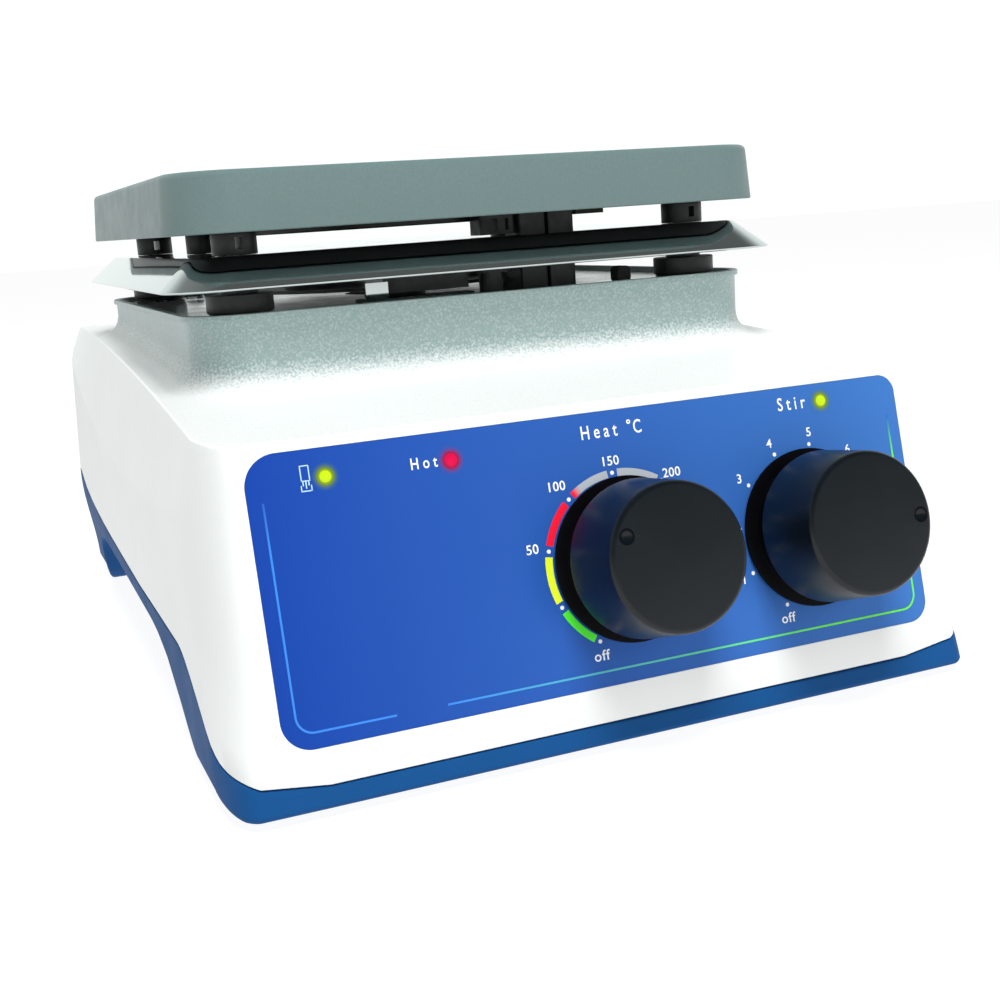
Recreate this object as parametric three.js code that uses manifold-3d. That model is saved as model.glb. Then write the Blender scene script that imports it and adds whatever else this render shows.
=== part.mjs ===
// Hotplate magnetic stirrer: a square heated plate on four standoffs above a raised collar, a sheet metal
// tray between them, a two part case with a sloped control panel, two knobs, and a motor that turns a rotor.
// Millimetres. X runs across, -Y is the front, +Z is up. Lengths along Y are counted from the plate's centre;
// the last lines move the whole object so that the frame's origin is the bottom centre of its box.
import * as THREE from 'three';
import { mergeVertices } from 'three/addons/utils/BufferGeometryUtils.js';
import Module from 'manifold-3d';

const wasm = await Module();
wasm.setup();

// ---------------------------------------------------------------- driving dimensions
const GAP = 0.3; // clearance between pieces that touch
const PLATE_HALF = 75; // half of the 150 mm plate
const PLATE_RADIUS = 14;
const PLATE_DRAFT = 0.9;
const PLATE_TOP = 122.4;
const PLATE_BOTTOM = 109;
const BODY_HALF = 86; // half of the 172 mm case, at its widest level
const WIDEST_Z = 8;
const SIDE_TAPER = 0.047; // each side leans in by this much for each mm of height
const FRONT_TILT = THREE.MathUtils.degToRad(12.94); // the front leans back from the vertical
const REAR_Y = 110;
const REAR_TAPER = 0.03;
const FRONT_CORNER = [8, 28]; // the front corners are ellipses: their reach in X and in Y
const REAR_CORNER = [7, 7];
const WALL = 2.6;
const FRONT_UNDERSIDE = 3.8; // the base's underside at the front feet and at the rear legs
const REAR_UNDERSIDE = 3;
const FOOT_SEAT = 1.9; // how far the feet sit up into it

const PANEL_WIDTH = 149;
const PANEL_HEIGHT = 56.1;
const PANEL_CORNER = 6.5;
const PANEL_THICKNESS = 1;
const PANEL_FOOT_Y = -133.7; // the panel's bottom edge
const PANEL_FOOT_Z = 13.4;

const DECK_Z = 78.35; // the case's top under the plate's centre
const DECK_SLOPE = 0.0475; // its rise towards the rear there
const DECK_BEND = 0.00018; // and how fast that rise falls off
const DECK_ROUND = 1.4;

const COLLAR_HALF = 71.4;
const COLLAR_CORNER = 13;
const COLLAR_OPENING = 66;
const RIM_OVERHANG = 0.8;
const RIM_TOP = 91.4;
const FLOOR_TOP = 90;
const FLOOR_THICKNESS = 1;

const TRAY_HALF = 69.6; // the flat middle of the tray
const TRAY_LIP_HALF = 77.2;
const TRAY_TOP = 104;
const TRAY_LIP_Z = 97.2;
const TRAY_SHEET = 0.8;

const SUPPORT = 58.3; // the standoffs stand this far from the middle in X and Y
const SCREW_RADIUS = 1.9;
const SCREW_HOLE = 2.3;

const KNOB_HEIGHT_ON_PANEL = 25;
const HEAT_KNOB_X = 2.5;
const STIR_KNOB_X = 47.5;
const KNOB_BASE = 5.5;
const KNOB_FACE = 21.5;
const KNOB_BASE_RADIUS = 16.4;
const KNOB_FACE_RADIUS = 14.9;
const SHAFT_RADIUS = 3;
const POINTER_DISTANCE = 12.2;
const HEAT_POINTER = THREE.MathUtils.degToRad(153); // where each knob points at rest, counted from +X
const STIR_POINTER = 0;

const DUCT_FRONT_Y = -55;
const DUCT_DEPTH = 10;
const DUCT_WIDTH = 7.3;
const DUCT_CENTRES = [17.55, 25.4];

// ---------------------------------------------------------------- materials
const paint = (color, roughness, metalness = 0) =>
  new THREE.MeshStandardMaterial({ color, roughness, metalness, flatShading: true });
const castGrey = paint(0x8a9592, 0.5, 0.6);
const mirrorSteel = paint(0xd8dcdc, 0.08, 1);
const steel = paint(0xb8bcbc, 0.3, 1);
const aluminium = paint(0xc4c8c8, 0.4, 1);
const whiteShell = paint(0xf4f5f4, 0.35);
const blueCase = paint(0x1d5aa6, 0.4);
const bluePanel = paint(0x2563b8, 0.35);
const blackPlastic = paint(0x14181a, 0.5);
const blackMetal = paint(0x0c0d0e, 0.6, 0.3);
const rubber = paint(0x1a1a1b, 0.8);
const floorGrey = paint(0xd2d6d6, 0.2, 0.3);
const mica = paint(0xb09a6c, 0.7);
const wool = paint(0xe6e2d6, 0.95);
const boardGreen = paint(0x1f5a3a, 0.5);
const brass = paint(0xc9a552, 0.35, 1);
const magnetDark = paint(0x2b2d30, 0.6, 0.2);
const lensGreen = paint(0xd8e84a, 0.2);
const lensRed = paint(0xff2d46, 0.2);

// ---------------------------------------------------------------- geometry helpers

// A closed ring of points round a rectangle with rounded corners, at one height. front and rear are the
// corners' reach in X and in Y.
function ringOf({ x0, x1, y0, y1, z, front, rear, steps = 6 }) {
  const corners = [
    [x1 - rear[0], y1 - rear[1], rear, 0],
    [x0 + rear[0], y1 - rear[1], rear, 90],
    [x0 + front[0], y0 + front[1], front, 180],
    [x1 - front[0], y0 + front[1], front, 270],
  ];
  const points = [];
  for (const [cx, cy, [a, b], start] of corners) {
    for (let i = 0; i <= steps; i++) {
      const angle = THREE.MathUtils.degToRad(start + (90 * i) / steps);
      points.push(new THREE.Vector3(cx + a * Math.cos(angle), cy + b * Math.sin(angle), z));
    }
  }
  return points;
}

const ring = ({ front, ...rest }) => ringOf({ ...rest, front: [front, front], rear: [front, front] });

const square = (half, corner, z, steps = 6) =>
  ring({ x0: -half, x1: half, y0: -half, y1: half, z, front: corner, steps });

// The closed skin through a list of rings, with a flat cap on the first and on the last.
function loft(rings) {
  const count = rings[0].length;
  const positions = rings.flat().flatMap((p) => [p.x, p.y, p.z]);
  const index = [];
  for (let r = 0; r + 1 < rings.length; r++) {
    for (let i = 0; i < count; i++) {
      const a = r * count + i;
      const b = r * count + ((i + 1) % count);
      index.push(a, b, b + count, a, b + count, a + count);
    }
  }
  const flat = (points) => points.map((p) => new THREE.Vector2(p.x, p.y));
  const last = (rings.length - 1) * count;
  for (const [a, b, c] of THREE.ShapeUtils.triangulateShape(flat(rings[0]), [])) index.push(a, c, b);
  for (const [a, b, c] of THREE.ShapeUtils.triangulateShape(flat(rings.at(-1)), [])) {
    index.push(last + a, last + b, last + c);
  }
  const geometry = new THREE.BufferGeometry();
  geometry.setAttribute('position', new THREE.Float32BufferAttribute(positions, 3));
  geometry.setIndex(index);
  return geometry;
}

// A turned piece about Z. The profile is a list of [radius, z] that starts and ends on the axis.
function turned(profile, segments = 24) {
  const points = profile.map(([r, z]) => new THREE.Vector2(r, z));
  return new THREE.LatheGeometry(points, segments).rotateX(Math.PI / 2);
}

// A turned ring about Z with a hole right through it: the profile closes on itself.
const turnedRing = (profile, segments = 24) => turned([...profile, profile[0]], segments);

const washer = (outer, inner, z0, z1, segments = 24) =>
  turnedRing([[inner, z0], [outer, z0], [outer, z1], [inner, z1]], segments);

const rod = (radius, z0, z1, segments = 16) =>
  turned([[0, z0], [radius, z0], [radius, z1], [0, z1]], segments);

function block(x0, x1, y0, y1, z0, z1) {
  const box = new THREE.BoxGeometry(x1 - x0, y1 - y0, z1 - z0);
  return box.translate((x0 + x1) / 2, (y0 + y1) / 2, (z0 + z1) / 2);
}

// An outline in Y and Z, drawn out along X from x0 to x1.
function sideways(outline, x0, x1) {
  const shape = new THREE.Shape(outline.map(([y, z]) => new THREE.Vector2(y, z)));
  const geometry = new THREE.ExtrudeGeometry(shape, { depth: x1 - x0, bevelEnabled: false });
  const turn = new THREE.Matrix4().makeBasis(
    new THREE.Vector3(0, 1, 0),
    new THREE.Vector3(0, 0, 1),
    new THREE.Vector3(1, 0, 0),
  );
  return geometry.applyMatrix4(turn).translate(x0, 0, 0);
}

// A rounded rectangle in X and Y from z0 to z1, centred on x and y.
function tile(x, y, width, height, corner, z0, z1, steps = 5) {
  const limits = { x0: x - width / 2, x1: x + width / 2, y0: y - height / 2, y1: y + height / 2 };
  return loft([z0, z1].map((z) => ring({ ...limits, z, front: corner, steps })));
}

// Joining and cutting closed geometries.
function solid(geometry) {
  const bare = geometry.clone();
  bare.deleteAttribute('normal');
  bare.deleteAttribute('uv');
  const merged = mergeVertices(bare, 1e-4);
  const mesh = new wasm.Mesh({
    numProp: 3,
    vertProperties: new Float32Array(merged.attributes.position.array),
    triVerts: new Uint32Array(merged.index.array),
  });
  return new wasm.Manifold(mesh);
}

function geometryOf(manifold) {
  const mesh = manifold.getMesh();
  const geometry = new THREE.BufferGeometry();
  geometry.setAttribute('position', new THREE.Float32BufferAttribute(mesh.vertProperties, 3));
  geometry.setIndex([...mesh.triVerts]);
  return geometry;
}

const joined = (...parts) => geometryOf(parts.map(solid).reduce((a, b) => a.add(b)));
const cut = (body, ...tools) =>
  geometryOf(tools.reduce((left, tool) => left.subtract(solid(tool)), solid(body)));
const common = (a, b) => geometryOf(solid(a).intersect(solid(b)));

// ---------------------------------------------------------------- the object
const object = new THREE.Group();
const stirrer = new THREE.Group();
object.add(stirrer);

// The panel's own frame: its Y runs up the panel, its Z stands out of it, and Z is 0 on its face.
const panelFrame = new THREE.Group();
panelFrame.position.set(0, PANEL_FOOT_Y, PANEL_FOOT_Z);
panelFrame.rotation.x = Math.PI / 2 - FRONT_TILT;
panelFrame.updateMatrix();
stirrer.add(panelFrame);
const onPanel = (geometry) => geometry.clone().applyMatrix4(panelFrame.matrix);

function piece(name, geometry, material, parent = stirrer) {
  const flat = geometry.index ? geometry.toNonIndexed() : geometry;
  flat.computeVertexNormals();
  const mesh = new THREE.Mesh(flat, material);
  mesh.name = name;
  parent.add(mesh);
  return mesh;
}

// The four standoff places, by name.
const corners = [
  ['front_left', -SUPPORT, -SUPPORT],
  ['front_right', SUPPORT, -SUPPORT],
  ['rear_left', -SUPPORT, SUPPORT],
  ['rear_right', SUPPORT, SUPPORT],
];

// ---------------------------------------------------------------- heated plate
const CEILING = 115.7; // the recess under the plate reaches up to here
const SKIRT_INNER = 72.6;
const UNDER_PLATE_Z = 109.3;
const BOSS_UNDER_PLATE = [45.5, 107.8]; // the round boss in its middle: radius, and how low it reaches

function topPlate() {
  const edge = 1.4; // small round at the top edge
  const rounds = [0, 30, 60, 90].map((angle) => {
    const a = THREE.MathUtils.degToRad(angle);
    const inset = edge * (1 - Math.cos(a));
    const half = PLATE_HALF - PLATE_DRAFT - inset;
    return square(half, PLATE_RADIUS - PLATE_DRAFT - inset * 0.5, PLATE_TOP - edge + edge * Math.sin(a));
  });
  return loft([
    square(SKIRT_INNER, PLATE_RADIUS - 4, CEILING),
    square(SKIRT_INNER, PLATE_RADIUS - 4, PLATE_BOTTOM),
    square(PLATE_HALF, PLATE_RADIUS, PLATE_BOTTOM),
    ...rounds,
  ]);
}
piece('top_plate', topPlate(), castGrey);
piece('heater_element', tile(0, 0, 124, 124, 10, 113.8, CEILING - GAP, 3), mica);
piece('insulation_pad', tile(0, 0, 130, 130, 10, 110.6, 113.5, 3), wool);
const underSheet = tile(0, 0, 144.4, 144.4, 9.7, UNDER_PLATE_Z, 110.3);
const underBoss = rod(BOSS_UNDER_PLATE[0], BOSS_UNDER_PLATE[1], 110, 48);
piece('under_plate', joined(underSheet, underBoss), blackMetal);
piece('earth_tag', block(30.2, 38, -54, -48, UNDER_PLATE_Z - 1.4, UNDER_PLATE_Z - GAP), brass);

// ---------------------------------------------------------------- tray
const PILLAR_RADIUS = 5.2;
const SLEEVE_X = -55.3;
const PILLAR_FOOT = TRAY_TOP + GAP;
const PILLAR_TOP = UNDER_PLATE_Z - GAP;

function deflectorTray() {
  const sheet = loft([
    square(TRAY_HALF - 0.4, 7.6, TRAY_TOP - TRAY_SHEET),
    square(TRAY_LIP_HALF - 0.6, 11.4, TRAY_LIP_Z - 0.4),
    square(TRAY_LIP_HALF, 12, TRAY_LIP_Z - 0.1),
    square(TRAY_LIP_HALF + 0.2, 12.2, TRAY_LIP_Z + 0.5),
    square(TRAY_HALF, 8, TRAY_TOP),
  ]);
  const ductMiddle = (DUCT_CENTRES[0] + DUCT_CENTRES[1]) / 2;
  const ductSpan = DUCT_CENTRES[1] - DUCT_CENTRES[0] + DUCT_WIDTH;
  return cut(
    sheet,
    ...corners.map(([, x, y]) => rod(SCREW_HOLE, 95, 106, 12).translate(x, y, 0)),
    tile(ductMiddle, DUCT_FRONT_Y + DUCT_DEPTH / 2, ductSpan + 1.2, DUCT_DEPTH + 1.2, 1, 95, 106, 2),
    rod(1.8, 95, 106, 12).translate(SLEEVE_X, 0, 0),
  );
}
piece('deflector_tray', deflectorTray(), mirrorSteel);

// Each standoff: a disc with a neck under the tray, a windowed pillar above it, and a screw up the middle.
const DISC_RADIUS = 7.7;
const DISC_TOP = 95.4;
for (const [name, x, y] of corners) {
  const pillar = cut(
    rod(PILLAR_RADIUS, PILLAR_FOOT, PILLAR_TOP, 28),
    rod(SCREW_HOLE, PILLAR_FOOT - 1, PILLAR_FOOT + 0.9, 12),
    block(-0.8, 0.8, -8, 8, PILLAR_FOOT + 1.3, PILLAR_TOP - 1),
  );
  piece('pillar_' + name, pillar.translate(x, y, 0), blackPlastic);
  const spacer = turnedRing([
    [SCREW_HOLE, FLOOR_TOP + GAP],
    [DISC_RADIUS - 0.5, FLOOR_TOP + GAP],
    [DISC_RADIUS - 0.5, FLOOR_TOP + 1.2],
    [DISC_RADIUS, FLOOR_TOP + 1.2],
    [DISC_RADIUS, DISC_TOP],
    [4.4, DISC_TOP],
    [4.4, TRAY_TOP - TRAY_SHEET - GAP],
    [SCREW_HOLE, TRAY_TOP - TRAY_SHEET - GAP],
  ], 28);
  piece('spacer_' + name, spacer.translate(x, y, 0), blackPlastic);
  const screw = turned([[0, 86], [3.5, 86], [3.5, 88.4], [SCREW_RADIUS, 88.4], [SCREW_RADIUS, 104.8], [0, 104.8]], 12);
  piece('support_screw_' + name, screw.translate(x, y, 0), steel);
}
piece('sensor_sleeve', washer(3.6, 1.5, PILLAR_FOOT, PILLAR_TOP, 20).translate(SLEEVE_X, 0, 0), blackPlastic);

// The wiring cluster near the front: two ducts side by side, each with a bore for a lead, and a windowed block.
const DUCT_BACK_Y = DUCT_FRONT_Y + DUCT_DEPTH;
const LEAD_RADIUS = 1.8;
DUCT_CENTRES.forEach((x, i) => {
  const side = ['left', 'right'][i];
  const y = (DUCT_FRONT_Y + DUCT_BACK_Y) / 2;
  const duct = cut(
    tile(x, y, DUCT_WIDTH, DUCT_DEPTH, 0.8, FLOOR_TOP + GAP, PILLAR_TOP, 2),
    rod(LEAD_RADIUS, 85, 112, 10).translate(x, y, 0),
  );
  piece('wire_duct_' + side, duct, blackPlastic);
});

function plateConnector() {
  const body = tile(8.65, -50, 9.3, 8, 0.8, PILLAR_FOOT, PILLAR_TOP, 2);
  const window = (x, width) => block(x - width / 2, x + width / 2, -60, -40, PILLAR_FOOT + 1, PILLAR_TOP - 0.9);
  return cut(body, window(7.6, 1.8), window(11, 0.9));
}
piece('plate_connector', plateConnector(), blackPlastic);

// ---------------------------------------------------------------- case outline
const halfWidthAt = (z) => BODY_HALF - (z - WIDEST_Z) * SIDE_TAPER;
const frontAt = (z) => PANEL_FOOT_Y + (z - PANEL_FOOT_Z) * Math.tan(FRONT_TILT);
const rearAt = (z) => REAR_Y - (z - WIDEST_Z) * REAR_TAPER;
const deckAt = (y) => DECK_Z + y * DECK_SLOPE - y * y * DECK_BEND;

// The case's plan at one height, drawn in by inset on every side.
function plan(z, inset = 0) {
  const half = halfWidthAt(z) - inset;
  return ringOf({
    x0: -half,
    x1: half,
    y0: frontAt(z) + inset / Math.cos(FRONT_TILT),
    y1: rearAt(z) - inset,
    z,
    front: FRONT_CORNER.map((reach) => reach - inset),
    rear: REAR_CORNER.map((reach) => reach - inset),
    steps: 7,
  });
}

// The arc that rounds the top's front or rear edge, from the deck down to that wall.
function edgeArc(wallAt, side, radius, drop) {
  let z = DECK_Z;
  let y = 0;
  for (let i = 0; i < 20; i++) {
    y = wallAt(z) - side * radius * 1.02;
    z = deckAt(y) - drop - radius;
  }
  const points = [];
  for (let i = 0; i <= 4; i++) {
    const angle = (Math.PI / 2) * (i / 4);
    points.push([y + side * radius * Math.sin(angle), z + radius * Math.cos(angle)]);
  }
  return points;
}

// The line on the case's side where the upper housing meets the base, from the front to the rear.
const SEAM = [
  [-145, 6],
  [-131, 6.3],
  [-126.5, 9.2],
  [-119, 13.2],
  [-106, 19.3],
  [-98, 22],
  [-91, 24.3],
  [-30, 24.1],
  [9, 25.1],
  [40, 26.2],
  [70, 28.2],
  [120, 34],
];

// What of the side view belongs to the upper housing, drop below the deck and rise above the seam.
function housingSide(drop, rise) {
  const front = edgeArc((z) => frontAt(z) + drop, -1, Math.max(0.5, DECK_ROUND - drop), drop);
  const rear = edgeArc((z) => rearAt(z) - drop, 1, Math.max(0.5, DECK_ROUND - drop), drop);
  const middle = [80, 50, 20, -10, -40, -70, -100].map((y) => [y, deckAt(y) - drop]);
  return [
    ...SEAM.map(([y, z]) => [y, z + rise]),
    [120, rear.at(-1)[1]],
    ...rear.reverse(),
    ...middle,
    ...front,
    [-145, front.at(-1)[1]],
  ];
}

const LED_X = { probe_led: -58.9, hot_led: -33.3, stir_led: 54.6 };
const LED_Y = { probe_led: 50.5, hot_led: 50.3, stir_led: 52.2 };
const LED_RADIUS = 1.6;
const KNOBS = { heat: HEAT_KNOB_X, stir: STIR_KNOB_X };
const BUSH_RADIUS = 4.5;

const INLET_X = 45;
const INLET_Z = 56;
const PROBE_X = -18;
const BOSS_X = -58;
const BOSS_Y = 94;
const SCREW_POSTS = [['front_left', -72, -104], ['front_right', 72, -104], ['rear_left', -70, 92], ['rear_right', 70, 92]];

// A round cutter that runs front to back through the rear wall.
const rearHole = (radius, x, z, segments = 20) =>
  rod(radius, -12, 12, segments).rotateX(Math.PI / 2).translate(x, rearAt(z), z);

function upperHousing() {
  const levels = [4, 40, 88];
  const outer = common(loft(levels.map((z) => plan(z))), sideways(housingSide(0, GAP), -120, 120));
  const collar = loft([
    square(COLLAR_HALF + 0.6, COLLAR_CORNER + 0.6, 68),
    square(COLLAR_HALF, COLLAR_CORNER, FLOOR_TOP),
    square(COLLAR_HALF + RIM_OVERHANG, COLLAR_CORNER + RIM_OVERHANG, FLOOR_TOP),
    square(COLLAR_HALF + RIM_OVERHANG, COLLAR_CORNER + RIM_OVERHANG, RIM_TOP),
  ]);
  const room = common(loft([-4, 40, 88].map((z) => plan(z, WALL))), sideways(housingSide(WALL, -60), -120, 120));
  const seat = FLOOR_TOP - FLOOR_THICKNESS - GAP;
  const hollow = [
    room,
    loft([60, 95].map((z) => square(COLLAR_OPENING, 8, z))),
    loft([seat, 95].map((z) => square(COLLAR_HALF - 1, COLLAR_CORNER - 1, z))),
  ];
  const panelRecess = tile(0, PANEL_HEIGHT / 2, PANEL_WIDTH + 2 * GAP, PANEL_HEIGHT + 2 * GAP, PANEL_CORNER + GAP, -PANEL_THICKNESS - GAP, 9);
  const frontHoles = [
    ...Object.values(KNOBS).map((x) => rod(BUSH_RADIUS + GAP, -9, 9, 20).translate(x, KNOB_HEIGHT_ON_PANEL, 0)),
    ...Object.keys(LED_X).map((name) => rod(LED_RADIUS + GAP, -9, 9, 16).translate(LED_X[name], LED_Y[name], 0)),
  ];
  const rearHoles = [
    block(INLET_X - 13.7, INLET_X + 13.7, 90, 130, INLET_Z - 10.3, INLET_Z + 10.3),
    rearHole(7.4, PROBE_X, INLET_Z),
    rod(7.2, 70, 90, 16).translate(BOSS_X, BOSS_Y, 0),
  ];
  const shell = cut(joined(outer, collar), ...hollow, onPanel(panelRecess), ...frontHoles.map(onPanel), ...rearHoles);
  const posts = SCREW_POSTS.map(([, x, y]) => rod(4, 8, deckAt(y) - 1, 14).translate(x, y, 0));
  const pilots = SCREW_POSTS.map(([, x, y]) => rod(1.9, 0, 20, 10).translate(x, y, 0));
  return cut(joined(shell, ...posts), ...pilots);
}
piece('upper_housing', upperHousing(), whiteShell);

// ---------------------------------------------------------------- base tray
// The underside in the side view: a front foot, an arch, and a rear leg.
const UNDERSIDE = [
  [-145, 1.8],
  [-134, 1.8],
  [-122, FRONT_UNDERSIDE],
  [-103, FRONT_UNDERSIDE],
  [-97, 5.4],
  [-87, 9.7],
  [-71, 15.6],
  [-59, 18.4],
  [-44, 19.6],
  [44, 20.6],
  [54, 18.6],
  [60, 12],
  [64, 5.6],
  [67, REAR_UNDERSIDE],
  [120, REAR_UNDERSIDE],
];
const FOOT_RADIUS = 6.5;
const FEET = [
  ['front_left', -58, -115, FRONT_UNDERSIDE],
  ['front_right', 58, -115, FRONT_UNDERSIDE],
  ['rear_left', -54, 92, REAR_UNDERSIDE],
  ['rear_right', 54, 92, REAR_UNDERSIDE],
];
const BOARD_POSTS = [[-70, -44], [-36, -44], [-70, 44], [-36, 44]];
const BOARD_Z = 28;

function baseTray() {
  const outer = loft([plan(0), plan(40)]);
  const inner = loft([plan(-2, WALL), plan(50, WALL)]);
  const side = [...UNDERSIDE, ...SEAM.toReversed()];
  const floor = UNDERSIDE.map(([y, z]) => [y, z + WALL]);
  const inside = [...floor, [120, 60], [-145, 60]];
  const shell = cut(common(outer, sideways(side, -120, 120)), common(inner, sideways(inside, -120, 120)));
  const posts = BOARD_POSTS.map(([x, y]) => rod(3, 20.4, BOARD_Z - GAP, 12).translate(x, y, 0));
  const recesses = FEET.map(([, x, y, z]) => rod(FOOT_RADIUS + GAP, -1, z + FOOT_SEAT, 24).translate(x, y, 0));
  const screwHoles = SCREW_POSTS.flatMap(([, x, y]) => [
    rod(2.1, -1, 9, 12).translate(x, y, 0),
    rod(4.1, -1, (y < 0 ? FRONT_UNDERSIDE : REAR_UNDERSIDE) + 1.6, 14).translate(x, y, 0),
  ]);
  const vents = [];
  for (let i = 0; i < 7; i++) {
    vents.push(block(10 + 6 * i, 13 + 6 * i, -20, 24, 10, 30));
  }
  return cut(joined(shell, ...posts), ...recesses, ...screwHoles, ...vents);
}
piece('base_tray', baseTray(), blueCase);

for (const [name, x, y, z] of FEET) {
  const top = z + FOOT_SEAT - GAP;
  const foot = turned([[0, 0], [FOOT_RADIUS - 0.8, 0], [FOOT_RADIUS, 0.6], [FOOT_RADIUS, top], [0, top]], 20);
  piece('foot_' + name, foot.translate(x, y, 0), rubber);
}

// ---------------------------------------------------------------- collar floor and what stands on it
const ROTOR_OPENING = 16;

function floorPlate() {
  const sheet = tile(0, 0, 2 * (COLLAR_HALF - 1 - GAP), 2 * (COLLAR_HALF - 1 - GAP), COLLAR_CORNER - 1.3, FLOOR_TOP - FLOOR_THICKNESS, FLOOR_TOP);
  const leadY = (DUCT_FRONT_Y + DUCT_BACK_Y) / 2;
  return cut(
    sheet,
    rod(ROTOR_OPENING, 80, 95, 36),
    ...corners.map(([, x, y]) => rod(SCREW_HOLE, 80, 95, 12).translate(x, y, 0)),
    ...DUCT_CENTRES.map((x) => rod(LEAD_RADIUS, 80, 95, 10).translate(x, leadY, 0)),
  );
}
piece('floor_plate', floorPlate(), floorGrey);

const STAND = FLOOR_TOP + GAP;
const STRIP_Y = -51.4;
const STRIP_X0 = -21;
const STRIP_X1 = 0;
const STRIP_BOTTOM = 92.1;
const STRIP_TOP = 95.6;

function stripBracket() {
  const half = 3;
  const foot = block(STRIP_X0 - 7, STRIP_X1 + 1, STRIP_Y - half, STRIP_Y + half, STAND, STAND + 0.8);
  const ramp = sidewaysX([[STRIP_X0 - 7, STAND], [STRIP_X0 - 0.4, STAND + 1.3], [STRIP_X0 - 0.4, STAND + 0.2]], half);
  const prong = block(STRIP_X0 - 6, STRIP_X0 - GAP, STRIP_Y - half, STRIP_Y - half + 1, STAND, STRIP_TOP - 0.6);
  return joined(foot, ramp, prong);
}

// An outline in X and Z, drawn out along Y by half each way from the terminal strip's middle.
function sidewaysX(outline, half) {
  const shape = new THREE.Shape(outline.map(([x, z]) => new THREE.Vector2(x, z)));
  const geometry = new THREE.ExtrudeGeometry(shape, { depth: 2 * half, bevelEnabled: false });
  return geometry.rotateX(Math.PI / 2).translate(0, STRIP_Y + half, 0);
}
piece('strip_bracket', stripBracket(), mirrorSteel);
piece('terminal_strip', tile((STRIP_X0 + STRIP_X1) / 2, STRIP_Y, STRIP_X1 - STRIP_X0, 5, 0.5, STRIP_BOTTOM, STRIP_TOP, 2), blackPlastic);
[-16.5, -6.5, -3.4].forEach((x, i) => {
  const z = STRIP_TOP + GAP;
  const screw = turned([[0, z], [0.5, z], [0.5, z + 1.3], [1.2, z + 1.3], [1.2, z + 2], [0, z + 2]], 10);
  piece('terminal_screw_' + (i + 1), screw.translate(x, STRIP_Y, 0), blackMetal);
});
const cutout = turned([[0, STAND], [3.2, STAND], [3.2, 95.2], [5.6, 95.2], [5.6, 96.5], [0, 96.5]], 24);
piece('thermal_cutout', cutout.translate(6.6, -52.4, 0), blackPlastic);
const grommet = tile(0, 0, 3.7, 4.1, 1.2, -2, 2, 3).rotateX(Math.PI / 2).translate(39, -60, STAND + 2.05);
piece('cable_grommet', grommet, rubber);
const domeScrew = turned([[0, STAND], [2.7, STAND], [2.7, STAND + 0.7], [1.9, STAND + 1.5], [0, STAND + 1.8]], 16);
piece('floor_screw', domeScrew.translate(-50, 45, 0), steel);

// ---------------------------------------------------------------- rotor and motor
const ROTOR_RADIUS = 44;
const ROTOR_HUB = 7;
const ROTOR_Z = 92.4;
const ROTOR_THICKNESS = 0.9;
const MOTOR_TOP = 76;

const rotorDisc = turned([
  [0, 92.2],
  [SHAFT_RADIUS + GAP, 92.2],
  [SHAFT_RADIUS + GAP, 84],
  [ROTOR_HUB, 84],
  [ROTOR_HUB, ROTOR_Z],
  [ROTOR_RADIUS, ROTOR_Z],
  [ROTOR_RADIUS, ROTOR_Z + ROTOR_THICKNESS],
  [0, ROTOR_Z + ROTOR_THICKNESS],
], 48);
piece('rotor_disc', rotorDisc, blackMetal);
piece('drive_shaft', rod(SHAFT_RADIUS, MOTOR_TOP + 4.3, 91.9, 16), steel);
for (const [side, x] of [['left', -22], ['right', 22]]) {
  const low = ROTOR_Z + ROTOR_THICKNESS + GAP;
  piece('drive_magnet_' + side, tile(x, 0, 20, 14, 1.5, low, low + 5, 2), magnetDark);
}

function motor() {
  const body = turned([[0, 34], [20, 34], [24, 36], [24, 72], [22, 74], [10, 74], [10, MOTOR_TOP - GAP], [6, MOTOR_TOP - GAP], [6, MOTOR_TOP + 4], [0, MOTOR_TOP + 4]], 32);
  return body;
}
piece('motor', motor(), steel);

// A channel that hangs the motor under the collar floor.
function motorBracket() {
  const top = FLOOR_TOP - FLOOR_THICKNESS - GAP;
  const web = block(-46, 46, -24, 24, MOTOR_TOP, MOTOR_TOP + 2);
  const walls = [-46, 44].map((x) => block(x, x + 2, -24, 24, MOTOR_TOP, top));
  const flanges = [-56, 44].map((x) => block(x, x + 12, -24, 24, top - 2, top));
  return cut(joined(web, ...walls, ...flanges), rod(7, 70, 80, 20));
}
piece('motor_bracket', motorBracket(), aluminium);

// ---------------------------------------------------------------- control panel
function fasciaPanel() {
  return cut(
    tile(0, PANEL_HEIGHT / 2, PANEL_WIDTH, PANEL_HEIGHT, PANEL_CORNER, -PANEL_THICKNESS, 0),
    ...Object.values(KNOBS).map((x) => rod(BUSH_RADIUS + GAP, -9, 9, 20).translate(x, KNOB_HEIGHT_ON_PANEL, 0)),
    ...Object.keys(LED_X).map((name) => rod(LED_RADIUS + GAP, -9, 9, 16).translate(LED_X[name], LED_Y[name], 0)),
  );
}
piece('fascia_panel', fasciaPanel(), bluePanel, panelFrame);

for (const name of Object.keys(LED_X)) {
  const lens = turned([[0, -8], [LED_RADIUS, -8], [LED_RADIUS, 0.3], [1.1, 0.7], [0, 0.85]], 16);
  const mesh = piece(name, lens, name === 'hot_led' ? lensRed : lensGreen, panelFrame);
  mesh.position.set(LED_X[name], LED_Y[name], 0);
}

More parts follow.
